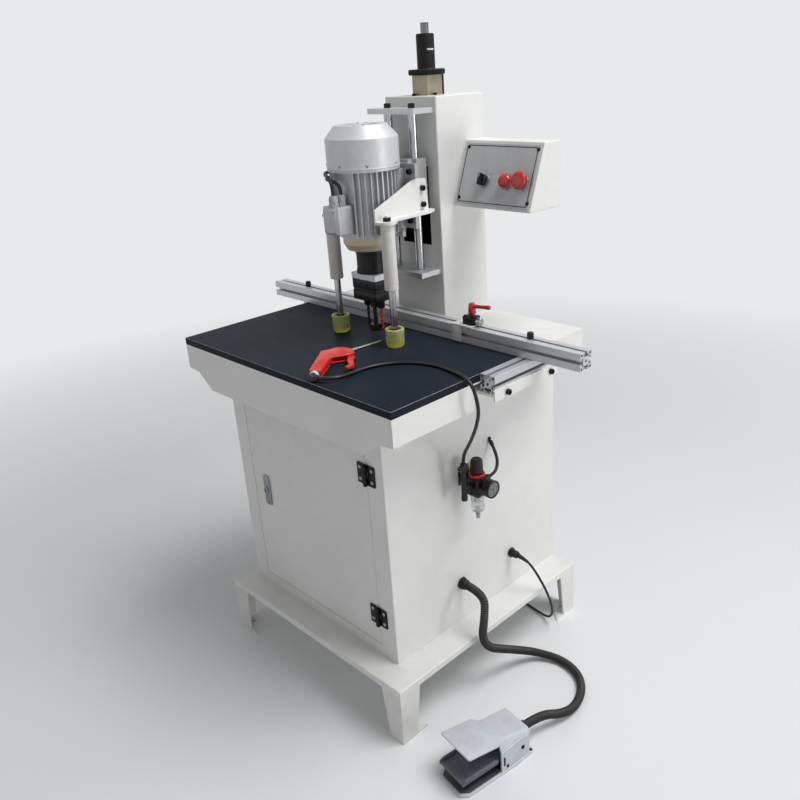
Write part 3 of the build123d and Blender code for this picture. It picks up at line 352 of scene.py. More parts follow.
def linear(tone: Tone) -> tuple[float, float, float, float]:
    """Linear colour of a tone that is given as it looks, from 0 to 1."""
    t = np.asarray(tone, float)
    value = np.where(t <= 0.04045, t / 12.92, ((t + 0.055) / 1.055) ** 2.4)
    return (*value.tolist(), 1.0)


class Wiring:
    """Adds and joins the shader nodes of one tree."""

    def __init__(self, tree: bpy.types.NodeTree) -> None:
        """Work on a tree."""
        self.tree = tree

    def add(self, kind: str, inputs: dict | None = None, **settings: object) -> bpy.types.Node:
        """Add a node.

        Args:
            kind: Class name of the node.
            inputs: Value or socket for each input, by name or number.
            settings: Attributes of the node.

        Returns:
            The node.
        """
        node = self.tree.nodes.new(kind)
        for name, value in settings.items():
            setattr(node, name, value)
        for key, value in (inputs or {}).items():
            if isinstance(value, bpy.types.NodeSocket):
                self.tree.links.new(value, node.inputs[key])
            else:
                node.inputs[key].default_value = value
        return node

    def math(self, what: str, first: object, second: object, clamp: bool = True) -> bpy.types.NodeSocket:
        """Output of a math node, held in the range 0 to 1 unless clamp is off."""
        node = self.add("ShaderNodeMath", {0: first, 1: second}, operation=what, use_clamp=clamp)
        return node.outputs[0]

    def tint(self, mask: object, first: object, second: object) -> bpy.types.NodeSocket:
        """Colour that goes from the first to the second with a mask."""
        node = self.add("ShaderNodeMix", {0: mask, 6: first, 7: second}, data_type="RGBA")
        return node.outputs[2]

    def level(self, mask: object, first: object, second: object) -> bpy.types.NodeSocket:
        """Number that goes from the first to the second with a mask."""
        return self.add("ShaderNodeMix", {0: mask, 2: first, 3: second}).outputs[0]

    def noise(self, place: object, scale: object, detail: float = 3.0,
              warp: float = 0.0) -> bpy.types.NodeSocket:
        """Noise value at a place."""
        inputs = {"Vector": place, "Scale": scale, "Detail": detail, "Distortion": warp}
        return self.add("ShaderNodeTexNoise", inputs).outputs["Fac"]

    def stretch(self, value: object, low: object, high: object) -> bpy.types.NodeSocket:
        """Value spread so that low becomes 0 and high becomes 1."""
        return self.add("ShaderNodeMapRange", {"Value": value, "From Min": low, "From Max": high}).outputs[0]


def emptied(owner: bpy.types.Material | bpy.types.World) -> Wiring:
    """Wiring of an owner's node tree, with nothing in it yet."""
    owner.use_nodes = True
    owner.node_tree.nodes.clear()
    return Wiring(owner.node_tree)


class Effect(Enum):
    """Surface effects that several finishes share."""

    MOTTLE = "mottled_tone"
    RELIEF = "fine_relief"
    SCUFF = "handling_scuffs"
    DUST = "settled_dust"


class EffectShelf:
    """Builds each shared effect once, as a shader node group."""

    def __init__(self) -> None:
        """Start with no group."""
        self.made: dict[Effect, bpy.types.NodeTree] = {}

    def group(self, effect: Effect) -> bpy.types.NodeTree:
        """Node group of an effect."""
        if effect not in self.made:
            self.made[effect] = getattr(self, effect.name.lower())(effect.value)
        return self.made[effect]

    def frame(self, name: str, inputs: dict[str, str], outputs: dict[str, str]) -> tuple:
        """Empty group with its sockets.

        Args:
            name: Name of the group.
            inputs: Socket type of each input.
            outputs: Socket type of each output.

        Returns:
            The tree, its wiring, the input node's outputs and the output node.
        """
        tree = bpy.data.node_groups.new(name, "ShaderNodeTree")
        for way, sockets in (("INPUT", inputs), ("OUTPUT", outputs)):
            for label, kind in sockets.items():
                tree.interface.new_socket(label, in_out=way, socket_type=f"NodeSocket{kind}")
        wire = Wiring(tree)
        return tree, wire, wire.add("NodeGroupInput").outputs, wire.add("NodeGroupOutput")

    def mottle(self, name: str) -> bpy.types.NodeTree:
        """Two tones mixed by soft patches, and a finer cloud inside them."""
        sockets = {"Vector": "Vector", "Tone": "Color", "Shade": "Color", "Scale": "Float"}
        tree, wire, given, out = self.frame(name, sockets, {"Color": "Color"})
        broad = wire.noise(given["Vector"], given["Scale"], 4.0, 0.4)
        finer = wire.math("MULTIPLY", given["Scale"], 9.0, clamp=False)
        small = wire.noise(given["Vector"], finer, 2.0)
        mask = wire.stretch(wire.level(0.35, broad, small), 0.36, 0.64)
        tree.links.new(wire.tint(mask, given["Tone"], given["Shade"]), out.inputs["Color"])
        return tree

    def relief(self, name: str) -> bpy.types.NodeTree:
        """Fine height grain, and roughness that drifts between two levels."""
        sockets = {"Vector": "Vector", "Scale": "Float", "Smooth": "Float", "Rough": "Float"}
        tree, wire, given, out = self.frame(name, sockets, {"Height": "Float", "Roughness": "Float"})
        tree.links.new(wire.noise(given["Vector"], given["Scale"], 3.0), out.inputs["Height"])
        slow = wire.math("MULTIPLY", given["Scale"], 0.03, clamp=False)
        drift = wire.stretch(wire.noise(given["Vector"], slow, 5.0), 0.3, 0.7)
        tree.links.new(wire.level(drift, given["Smooth"], given["Rough"]), out.inputs["Roughness"])
        return tree

    def scuff(self, name: str) -> bpy.types.NodeTree:
        """Mask of short rubbed streaks, a thresholded noise drawn out along one axis."""
        sockets = {"Vector": "Vector", "Scale": "Float", "Amount": "Float"}
        tree, wire, given, out = self.frame(name, sockets, {"Mask": "Float"})
        drawn = wire.add("ShaderNodeMapping", {"Vector": given["Vector"], "Scale": (1.0, 0.16, 1.0)})
        streak = wire.noise(drawn.outputs[0], given["Scale"], 6.0, 1.2)
        patch = wire.noise(given["Vector"], 7.0, 2.0)
        level = wire.math("MULTIPLY", streak, wire.stretch(patch, 0.3, 0.6))
        bar = wire.math("SUBTRACT", 0.78, given["Amount"])
        rise = wire.math("ADD", bar, 0.08, clamp=False)
        tree.links.new(wire.stretch(level, bar, rise), out.inputs["Mask"])
        return tree

    def dust(self, name: str) -> bpy.types.NodeTree:
        """Mask of fine dust on faces that look up, broken by a cloud."""
        sockets = {"Vector": "Vector", "Normal": "Vector", "Amount": "Float"}
        tree, wire, given, out = self.frame(name, sockets, {"Mask": "Float"})
        up = wire.add("ShaderNodeSeparateXYZ", {0: given["Normal"]}).outputs[2]
        cloud = wire.stretch(wire.noise(given["Vector"], 24.0, 8.0), 0.35, 0.75)
        lying = wire.math("MULTIPLY", wire.stretch(up, 0.4, 0.95), cloud)
        tree.links.new(wire.math("MULTIPLY", lying, given["Amount"]), out.inputs["Mask"])
        return tree


SHELF = EffectShelf()
FAR = 9999.0


@dataclass(frozen=True)
class Zone:
    """Box in which a finish changes: on a part made of two metals, and for painted shade inside a hollow."""

    low: Point
    high: Point
    tone: Tone
    metal: float = 0.0
    gloss: float = 0.4


def below(level: float, tone: Tone, metal: float, gloss: float) -> tuple[Zone, ...]:
    """Zone of everything below a level."""
    return (Zone((-FAR, -FAR, -FAR), (FAR, FAR, level), tone, metal, gloss),)


@dataclass(frozen=True)
class Finish:
    """Surface finish of one material slot."""

    name: str
    slot: str
    tone: Tone
    shade: Tone
    gloss: tuple[float, float]
    metal: float = 0.0
    patch: float = 5.0
    grain: float = 700.0
    relief: float = 0.06
    drawn: Point = (1.0, 1.0, 1.0)
    scuff: float = 0.0
    scuff_tone: Tone = (0.5, 0.5, 0.5)
    dust: float = 0.0
    coat: float = 0.0
    clear: float = 0.0
    bend: float = 1.45
    zones: tuple[Zone, ...] = ()

    def material(self) -> bpy.types.Material:
        """The finish as a material, made once."""
        return bpy.data.materials.get(self.name) or self.build()

    def build(self) -> bpy.types.Material:
        """Node tree: mottled tone, scuffs, dust and zones into colour; fine relief into gloss and bump."""
        made = bpy.data.materials.new(self.name)
        wire = emptied(made)
        spot = wire.add("ShaderNodeTexCoord").outputs
        place = wire.add("ShaderNodeMapping", {"Vector": spot["Object"], "Scale": self.drawn}).outputs[0]
        tones = {"Vector": place, "Tone": linear(self.tone), "Shade": linear(self.shade), "Scale": self.patch}
        gloss = {"Vector": place, "Scale": self.grain, "Smooth": self.gloss[0], "Rough": self.gloss[1]}
        relief = self.shared(wire, Effect.RELIEF, gloss)
        tint, rough, metal = self.shared(wire, Effect.MOTTLE, tones)["Color"], relief["Roughness"], None
        if self.scuff:
            given = {"Vector": spot["Object"], "Scale": SCUFF_SCALE, "Amount": self.scuff}
            mask = self.shared(wire, Effect.SCUFF, given)["Mask"]
            tint = wire.tint(mask, tint, linear(self.scuff_tone))
            rough = wire.level(mask, rough, SCUFF_ROUGH)
        for zone in self.zones:
            inside = self.inside(wire, spot["Object"], zone)
            tint = wire.tint(inside, tint, linear(zone.tone))
            rough = wire.level(inside, rough, zone.gloss)
            if zone.metal != self.metal:
                metal = wire.level(inside, self.metal if metal is None else metal, zone.metal)
        if self.dust:
            given = {"Vector": spot["Object"], "Normal": spot["Normal"], "Amount": self.dust}
            mask = self.shared(wire, Effect.DUST, given)["Mask"]
            tint = wire.tint(mask, tint, linear(DUST_TONE))
            rough = wire.level(mask, rough, DUST_ROUGH)
        grain = {"Strength": self.relief, "Distance": BUMP_REACH, "Height": relief["Height"]}
        look = {"Base Color": tint, "Roughness": rough, "Metallic": metal or self.metal, "IOR": self.bend,
                "Normal": wire.add("ShaderNodeBump", grain).outputs[0], "Transmission Weight": self.clear,
                "Coat Weight": self.coat, "Coat Roughness": COAT_ROUGH}
        shader = wire.add("ShaderNodeBsdfPrincipled", look)
        wire.add("ShaderNodeOutputMaterial", {"Surface": shader.outputs[0]})
        return made

    @staticmethod
    def shared(wire: Wiring, effect: Effect, inputs: dict) -> bpy.types.NodeOutputs:
        """Outputs of a shared effect that is fed with this finish's values."""
        return wire.add("ShaderNodeGroup", inputs, node_tree=SHELF.group(effect)).outputs

    @staticmethod
    def inside(wire: Wiring, place: bpy.types.NodeSocket, zone: Zone) -> bpy.types.NodeSocket:
        """Mask that is 1 inside a zone: the product of six comparisons of the coordinates."""
        split = wire.add("ShaderNodeSeparateXYZ", {0: place}).outputs
        found: object = 1.0
        for axis in range(3):
            for what, limit in (("GREATER_THAN", zone.low[axis]), ("LESS_THAN", zone.high[axis])):
                if abs(limit) < FAR:
                    found = wire.math("MULTIPLY", found, wire.math(what, split[axis], limit * MM))
        return found


PAINT_TONE = (0.915, 0.915, 0.905)

PAINT = Finish("satin_white_paint", "white_paint", PAINT_TONE, (0.89, 0.89, 0.875), (0.32, 0.46), patch=2.4,
               grain=1400, relief=0.05, scuff=0.05, scuff_tone=(0.72, 0.71, 0.69), dust=0.1, coat=0.1)
FOOT_PAINT = Finish("foot_white_paint", "white_paint", PAINT_TONE, (0.86, 0.86, 0.84), (0.36, 0.52), patch=5,
                    grain=1400, relief=0.06, scuff=0.07, scuff_tone=(0.72, 0.70, 0.67), dust=0.15)
DOOR_PAINT = Finish("door_white_paint", "door_paint", (0.91, 0.91, 0.90), (0.885, 0.885, 0.87), (0.34, 0.48),
                    patch=3, grain=1400, relief=0.05, scuff=0.07, scuff_tone=(0.72, 0.71, 0.69), coat=0.1)
# The second zone paints the hollow column's white inside near black: painted shade where little light reaches
# in.
COLUMN_PAINT = Finish("column_paint_plates_and_painted_inner_shade", "white_paint", PAINT_TONE, (0.88, 0.88, 0.87), (0.32, 0.46),
                      patch=3, grain=1400, relief=0.05, coat=0.1, dust=0.1,
                      zones=(Zone((-FAR, -FAR, 900), (FAR, 126.6, FAR), (0.76, 0.77, 0.78), 0.6, 0.36),
                             Zone((-82, 129, -FAR), (82, 286, 1371), (0.04, 0.04, 0.045), 0.0, 0.6)))
CLAMP_PAINT = Finish("clamp_white_paint", "white_paint", (0.87, 0.865, 0.845), (0.83, 0.825, 0.80),
                     (0.3, 0.42), patch=9, grain=1600, relief=0.04, scuff=0.08, scuff_tone=(0.66, 0.65, 0.62),
                     coat=0.15)
BOARD = Finish("black_laminate", "board_black", (0.13, 0.155, 0.19), (0.14, 0.165, 0.20), (0.40, 0.46),
               patch=2, grain=1200, relief=0.03, bend=1.1)
ALU_X = Finish("drawn_aluminium_lengthwise", "profile_alu", (0.80, 0.81, 0.82), (0.74, 0.75, 0.77),
               (0.32, 0.44), 0.5, patch=6, grain=900, relief=0.12, drawn=(0.02, 1, 1), scuff=0.06,
               scuff_tone=(0.62, 0.63, 0.64))
ALU_Y = replace(ALU_X, name="drawn_aluminium_crosswise", drawn=(1, 0.02, 1))
STEEL = Finish("milled_steel", "steel", (0.62, 0.63, 0.64), (0.54, 0.55, 0.56), (0.28, 0.42), 0.95, patch=12,
               grain=1500, relief=0.1)
CHROME = Finish("ground_chrome", "chrome", (0.68, 0.685, 0.695), (0.60, 0.605, 0.615), (0.12, 0.24), 1.0,
                patch=15, grain=1800, relief=0.04, drawn=(1, 1, 0.3))
FEED_STEEL = Finish("drawn_feed_rod", "chrome", (0.50, 0.505, 0.515), (0.42, 0.425, 0.435), (0.22, 0.34), 1.0,
                    patch=15, grain=1500, relief=0.06, drawn=(1, 1, 0.3))
ROD_END = Finish("chrome_rod_and_dark_nut", "steel", (0.66, 0.665, 0.67), (0.58, 0.585, 0.59), (0.14, 0.28),
                 1.0, patch=15, grain=1800, relief=0.05, zones=below(893.5, (0.10, 0.10, 0.09), 0.2, 0.45))
DRIVE_STEEL = Finish("shaft_steel_and_dark_cutter", "steel", (0.58, 0.59, 0.60), (0.50, 0.51, 0.52),
                     (0.3, 0.44), 0.9, patch=12, grain=1500, relief=0.1,
                     zones=below(939, (0.09, 0.09, 0.095), 0.2, 0.42))
BLACK_STEEL = Finish("blackened_steel", "black_metal", (0.045, 0.045, 0.05), (0.032, 0.032, 0.036),
                     (0.36, 0.5), patch=30, grain=1700, relief=0.08, scuff=0.06, scuff_tone=(0.2, 0.2, 0.21),
                     bend=1.34)
STOP_BLACK = Finish("dull_black_stop", "black_metal", (0.035, 0.035, 0.037), (0.05, 0.05, 0.052),
                    (0.46, 0.56), patch=20, grain=1500, relief=0.1, dust=0.05, bend=1.3)
BLACK_PLASTIC = Finish("black_moulding", "black_plastic", (0.05, 0.05, 0.054), (0.07, 0.07, 0.074),
                       (0.38, 0.55), patch=20, grain=2200, relief=0.12, dust=0.06, bend=1.42)
GREY_PLASTIC = Finish("pale_grey_moulding", "motor_grey", (0.70, 0.705, 0.71), (0.64, 0.645, 0.65),
                      (0.38, 0.5), patch=18, grain=2000, relief=0.08)
# Dark grey sheet on the pedal's base: painted shade where the guard shadows the plate.
BASE_SHADE = Finish("painted_shade_under_guard", "treadle_grey", (0.26, 0.26, 0.28), (0.21, 0.21, 0.23), (0.4, 0.55),
                   patch=18, grain=2000, relief=0.1, dust=0.1)
RUBBER = Finish("black_cable_sheath", "rubber", (0.06, 0.059, 0.057), (0.045, 0.045, 0.043), (0.42, 0.6),
                patch=30, grain=2400, relief=0.1, dust=0.08)
HOSE_SKIN = Finish("black_air_hose", "black_plastic", (0.05, 0.048, 0.046), (0.07, 0.068, 0.066), (0.26, 0.4),
                   patch=24, grain=1500, relief=0.04, dust=0.05)
CONDUIT_SKIN = Finish("ribbed_black_conduit", "black_plastic", (0.055, 0.052, 0.05), (0.08, 0.076, 0.072),
                      (0.36, 0.5), patch=40, grain=2200, relief=0.08, dust=0.12)
MOTOR = Finish("cast_motor_grey", "motor_grey", (0.77, 0.775, 0.79), (0.70, 0.705, 0.72), (0.38, 0.5), 0.3,
               patch=16, grain=900, relief=0.22, zones=below(1094.4, (0.80, 0.76, 0.66), 0.2, 0.44))
CAST = Finish("cast_box_grey", "motor_grey", (0.74, 0.745, 0.755), (0.68, 0.685, 0.695), (0.38, 0.5), 0.3,
              patch=18, grain=900, relief=0.22)
CARRIAGE = Finish("machined_slide", "motor_grey", (0.75, 0.755, 0.76), (0.67, 0.675, 0.68), (0.3, 0.44), 0.5,
                  patch=10, grain=1000, relief=0.1, drawn=(1, 1, 0.08))
COWL = Finish("silver_cowl_lacquer", "cowl_silver", (0.83, 0.835, 0.845), (0.78, 0.785, 0.795), (0.38, 0.48),
              0.2, patch=9, grain=1500, relief=0.06)
FEED_HEAD = Finish("warm_anodised_head", "head_tan", (0.66, 0.62, 0.54), (0.58, 0.55, 0.48), (0.34, 0.48),
                   0.55, patch=14, grain=1300, relief=0.1)
PAD = Finish("translucent_pad", "pad_green", (0.90, 0.91, 0.66), (0.86, 0.88, 0.60), (0.22, 0.34), patch=40,
             grain=900, relief=0.05, clear=0.5, bend=1.4, zones=below(862, (0.93, 0.90, 0.40), 0.0, 0.3))
RED = Finish("red_moulding", "red_plastic", (0.78, 0.10, 0.10), (0.70, 0.08, 0.085), (0.2, 0.3), patch=25,
             grain=1800, relief=0.05, coat=0.4)
GUN_RED = Finish("orange_red_moulding", "gun_orange", (0.86, 0.17, 0.10), (0.78, 0.12, 0.08), (0.28, 0.42),
                 patch=22, grain=1500, relief=0.1, coat=0.1)
CLEAR = Finish("clear_lens", "bowl_clear", (0.975, 0.98, 0.975), (0.96, 0.97, 0.965), (0.03, 0.07), patch=30,
               grain=800, relief=0.02, clear=0.97, bend=1.22)
BOWL = Finish("clear_bowl", "bowl_clear", (0.96, 0.965, 0.96), (0.94, 0.95, 0.945), (0.08, 0.16), patch=30,
              grain=800, relief=0.03, clear=0.82, bend=1.24)
REG_BLACK = Finish("dark_regulator_casting", "reg_grey", (0.055, 0.053, 0.053), (0.075, 0.073, 0.073),
                   (0.36, 0.5), patch=30, grain=1500, relief=0.15, bend=1.42)
BRASS = Finish("plated_brass", "brass", (0.74, 0.64, 0.42), (0.66, 0.55, 0.34), (0.22, 0.38), 1.0, patch=30,
               grain=1800, relief=0.05)
ZINC = Finish("yellow_zinc_plate", "brass", (0.80, 0.75, 0.55), (0.72, 0.66, 0.46), (0.28, 0.42), 0.8,
              patch=40, grain=1500, relief=0.06)
PEDAL = Finish("pale_cast_pedal", "pedal_grey", (0.80, 0.815, 0.84), (0.74, 0.755, 0.785), (0.34, 0.48), 0.1,
               patch=10, grain=1100, relief=0.12, scuff=0.1, scuff_tone=(0.62, 0.63, 0.65), dust=0.1)
TREADLE = Finish("worn_cast_treadle", "treadle_grey", (0.40, 0.41, 0.46), (0.34, 0.35, 0.39), (0.36, 0.52),
                 0.1, patch=14, grain=1100, relief=0.15, scuff=0.1, scuff_tone=(0.60, 0.61, 0.64), dust=0.1)
PANEL_GREY = Finish("grey_panel_foil", "panel_grey", (0.76, 0.765, 0.775), (0.72, 0.725, 0.735), (0.36, 0.48),
                    0.1, patch=12, grain=1600, relief=0.05)
LINE_INK = Finish("dark_printed_line", "black_plastic", (0.13, 0.13, 0.14), (0.18, 0.18, 0.19), (0.4, 0.5),
                  patch=60, grain=1600, relief=0.03)
PALE_INK = replace(LINE_INK, name="pale_printed_mark", slot="panel_grey", tone=(0.86, 0.86, 0.85),
                   shade=(0.80, 0.80, 0.79))
# Pale strip along the board's chamfer: painted highlight of the edge catching the light.
EDGE_HIGHLIGHT = replace(PALE_INK, name="painted_board_edge_highlight", tone=(0.60, 0.60, 0.60), shade=(0.46, 0.46, 0.47))
# Gauge dial toned down to mid grey: painted shade on a face that sits in shadow.
DIAL = replace(PALE_INK, name="gauge_dial_with_painted_shade", tone=(0.42, 0.42, 0.40), shade=(0.37, 0.37, 0.35),
               gloss=(0.42, 0.52))
GEAR_BOX_GREY = Finish("control_gear_grey", "gear_grey", (0.60, 0.61, 0.62), (0.52, 0.53, 0.54), (0.4, 0.55),
                       patch=12, grain=1500, relief=0.08)
BLUE_FITTING = Finish("dark_blue_elbow", "black_plastic", (0.10, 0.11, 0.24), (0.08, 0.09, 0.18), (0.3, 0.42),
                      patch=40, grain=1700, relief=0.05)
WHITE_COLLAR = Finish("white_collar", "panel_grey", (0.88, 0.88, 0.87), (0.83, 0.83, 0.82), (0.32, 0.45),
                      patch=40, grain=1700, relief=0.05)


class Workshop:
    """Links finished pieces into the scene and dresses the frame's own nodes."""

    def __init__(self, frame: dict) -> None:
        """Keep the loaded frame."""
        self.frame = frame

    def place(self, thing: bpy.types.Object, finish: Finish, body: str, stands_for: tuple[str, ...]) -> None:
        """Link an object, give it its finish and let it ride.

        Args:
            thing: The new object.
            finish: Its finish.
            body: The body that carries it.
            stands_for: Nodes of the frame that it replaces.
        """
        thing.data.materials.append(finish.material())
        bpy.context.scene.collection.objects.link(thing)
        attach(thing, body)
        if stands_for:
            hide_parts(*stands_for)
        LOG.info("%s on %s", thing.name, body)

    def piece(self, name: str, skin: Skin, finish: Finish, body: str, *stands_for: str,
              sharp: float = SHARP) -> bpy.types.Object:
        """New piece from a skin.

        Args:
            name: Name of the piece.
            skin: Its surfaces.
            finish: Its finish.
            body: The body that carries it.
            stands_for: Nodes of the frame that it replaces.
            sharp: Angle in degrees above which its edges shade sharp.

        Returns:
            The object.
        """
        thing = bpy.data.objects.new(name, skin.mesh(name, sharp))
        self.place(thing, finish, body, stands_for)
        return thing

    def dress(self, finish: Finish, *nodes: str) -> None:
        """Give nodes of the frame a finish."""
        for node in nodes:
            self.frame["nodes"][node].material_slots[0].material = finish.material()
            LOG.info("%s dressed in %s", node, finish.name)


def cap_screw(width: float, height: float) -> Array:
    """Screw head with an eased rim and a six-sided recess."""
    r, e = width / 2, 0.07 * width
    rows = [(r - e, 0), (r, e), (r, height - e), (r - e, height), (0.52 * r, height),
            (0.5 * r, 0.45 * height)]
    return turned(rows, 36, on_rows([4, 5], 6, many_sided(6, 36)))


def hex_nut(width: float, height: float, bore: float = 0.0) -> Array:
    """Six-sided nut with chamfered ends, and a stud's end standing out of it."""
    r, e = width / 2, 0.08 * width
    stud = bore / 2 or 0.5 * r
    rows = [(0.88 * r, 0), (r, e), (r, height - e), (0.88 * r, height), (stud, height), (stud, height + 1.5),
            (0.8 * stud, height + 2.2)]
    return turned(rows, 36, on_rows([1, 2], 7, many_sided(6, 36)))


def dome_screw(width: float, height: float) -> Array:
    """Low domed head with a six-sided recess."""
    r = width / 2
    rows = [(r, 0), (0.96 * r, 0.35 * height), (0.8 * r, 0.75 * height), (0.5 * r, height), (0.4 * r, height),
            (0.38 * r, 0.4 * height)]
    return turned(rows, 30, on_rows([4, 5], 6, many_sided(6, 30)))


def post(radius: float, low: float, high: float, ease: float = 0.6, steps: int = 40) -> Array:
    """Round bar with eased ends."""
    return turned([(radius - ease, low), (radius, low + ease), (radius, high - ease), (radius - ease, high)],
                  steps)


def block(x: tuple, y: tuple, z: tuple, reach: float = 2.0, ease: float = 0.8) -> tuple[Array, Place]:
    """Block over three spans with eased upright corners and rims, as a grid and its frame."""
    shape = oblong((x[1] - x[0]) / 2, (y[1] - y[0]) / 2, reach)
    return slab(shape, z[1] - z[0], ease), upright((x[0] + x[1]) / 2, (y[0] + y[1]) / 2, z[0])


def curve_of(name: str, points: Array, diameter: float) -> bpy.types.Object:
    """Cord as one smooth open spline with the route's points as its control points.

    Args:
        name: Name of the cord.
        points: Control points.
        diameter: Width of the cord, or 0 for a bare line.

    Returns:
        The curve object, not linked yet.
    """
    curve = bpy.data.curves.new(name, "CURVE")
    curve.dimensions = "3D"
    spline = curve.splines.new("NURBS")
    spline.points.add(len(points) - 1)
    spline.points.foreach_set("co", np.column_stack([points * MM, np.ones(len(points))]).ravel())
    spline.order_u = 3
    spline.use_endpoint_u = True
    spline.resolution_u = 14
    curve.bevel_depth = diameter / 2 * MM
    curve.bevel_resolution = 5
    curve.use_fill_caps = True
    return bpy.data.objects.new(name, curve)


def line_of(points: Array) -> Array:
    """Points read from a route's smooth spline."""
    bare = curve_of("bare_line", points, 0)
    mesh = bpy.data.meshes.new_from_object(bare)
    line = np.empty(len(mesh.vertices) * 3, np.float32)
    mesh.vertices.foreach_get("co", line)
    bpy.data.meshes.remove(mesh)
    bpy.data.curves.remove(bare.data)
    return line.reshape(-1, 3).astype(float) / MM


def spaced(line: Array, step: float, first: float = 0.0, last: float | None = None) -> Array:
    """Points of a line at even distances.

    Args:
        line: Points of the line.
        step: Distance between points.
        first: Distance from the start at which to begin.
        last: Distance at which to end, or the line's length.

    Returns:
        The points.
    """
    run = np.concatenate([[0], np.cumsum(np.linalg.norm(np.diff(line, axis=0), axis=1))])
    end = run[-1] if last is None else last
    at = np.linspace(first, end, max(2, round((end - first) / step) + 1))
    return np.stack([np.interp(at, run, line[:, axis]) for axis in range(3)], -1)


def length_of(line: Array) -> float:
    """Length of a line in metres."""
    return float(np.linalg.norm(np.diff(line, axis=0), axis=1).sum()) * MM


@dataclass
class BaseAndCabinet:
    """Base plate, feet, cabinet, door with hinges and latch."""

    shop: Workshop
    hinge_axis: tuple[float, float] = (212.0, -277.0)
    hinge_levels: tuple[float, float] = (265.0, 637.0)
    hinge_tall: float = 50.0
    knuckle: float = 5.5
    latch_at: Point = (-193.0, -271.4, 457.0)

    def build(self) -> None:
        """Dress the sheet parts and make the ironmongery."""
        self.shop.dress(PAINT, "base_plate", "cabinet_shell")
        self.shop.dress(FOOT_PAINT, "base_feet")
        self.shop.dress(DOOR_PAINT, "cabinet_door")
        self.shop.dress(GEAR_BOX_GREY, "control_gear")
        self.hinges()
        self.latch()

    def leaf(self, skin: Skin, heads: Skin, level: float, side: int) -> None:
        """One hinge leaf with its knuckles and screw heads.

        Args:
            skin: Surfaces of the leaf.
            heads: Surfaces of the screw heads.
            level: Middle height.
            side: 1 for the cabinet's leaf, -1 for the door's.
        """
        half, third = self.hinge_tall / 2, self.hinge_tall / 3
        ax, ay = self.hinge_axis
        wall = Place((ax, -271.05, level), (side, 0, 0), (0, 0, 1), (0, -1, 0))
        skin.add(slab(rounded([(6.4, -half), (28, -half), (28, half), (6.4, half)], 3.5), 2.9, 0.5), wall)
        spans = [(-half, -half + third - 0.5), (half - third + 0.5, half)]
        if side < 0:
            spans = [(-half + third + 0.5, half - third - 0.5)]
        for low, high in spans:
            skin.add(slab(oblong(4, (high - low) / 2, 0.5), 2.9, 0.4), wall.at(4, (low + high) / 2, 0))
            skin.add(post(self.knuckle, low, high, 0.7, 32), upright(ax, ay, level))
        for z in (-14.0, 14.0):
            heads.add(dome_screw(9, 2.0), wall.at(18.5, z, 2.8))

    def hinges(self) -> None:
        """Two black butt hinges with pins and screws."""
        fixed, moving, fixed_heads, moving_heads = Skin(), Skin(), Skin(), Skin()
        for level in self.hinge_levels:
            self.leaf(fixed, fixed_heads, level, 1)
            self.leaf(moving, moving_heads, level, -1)
            half = self.hinge_tall / 2
            pin = [(2.9, -half - 1.6), (3.9, -half - 1.2), (3.9, -half), (2.9, -half), (2.9, half),
                   (3.9, half), (3.9, half + 1.2), (2.6, half + 2)]
            fixed.add(turned(pin, 28), upright(*self.hinge_axis, level))
        self.shop.piece("hinge_fixed_leaves", fixed, BLACK_STEEL, "machine", "hinge_leaves_fixed")
        self.shop.piece("hinge_fixed_screws", fixed_heads, STEEL, "machine")
        self.shop.piece("hinge_door_leaves", moving, BLACK_STEEL, "door", "hinge_leaves_door")
        self.shop.piece("hinge_door_screws", moving_heads, STEEL, "door")

    def latch(self) -> None:
        """Turning paddle with a three-sided key recess, and the cam behind the door."""
        front = frontal(*self.latch_at)
        skin = Skin()
        skin.add(slab(oblong(13, 42, 9, 8), 3.6, 1.4), front)
        boss = [(9.5, 3.2), (9.5, 4.2), (9, 7), (8, 7.6), (5.6, 7.6), (5.4, 3.6)]
        skin.add(turned(boss, 36, on_rows([4, 5], 6, many_sided(3, 36))), front)
        skin.add(slab(oblong(6.5, 11, 6), 0.9, 0.4), front.at(0, -24, 3.3))
        skin.add(post(7.9, -25, 0.5, 0.5), front)
        skin.add(slab(rounded([(-8, -8), (8, -8), (8, 75), (-8, 75)], 6), 3, 0.6), front.at(0, 0, -25))
        self.shop.piece("latch_paddle", skin, STEEL, "latch", "door_latch")


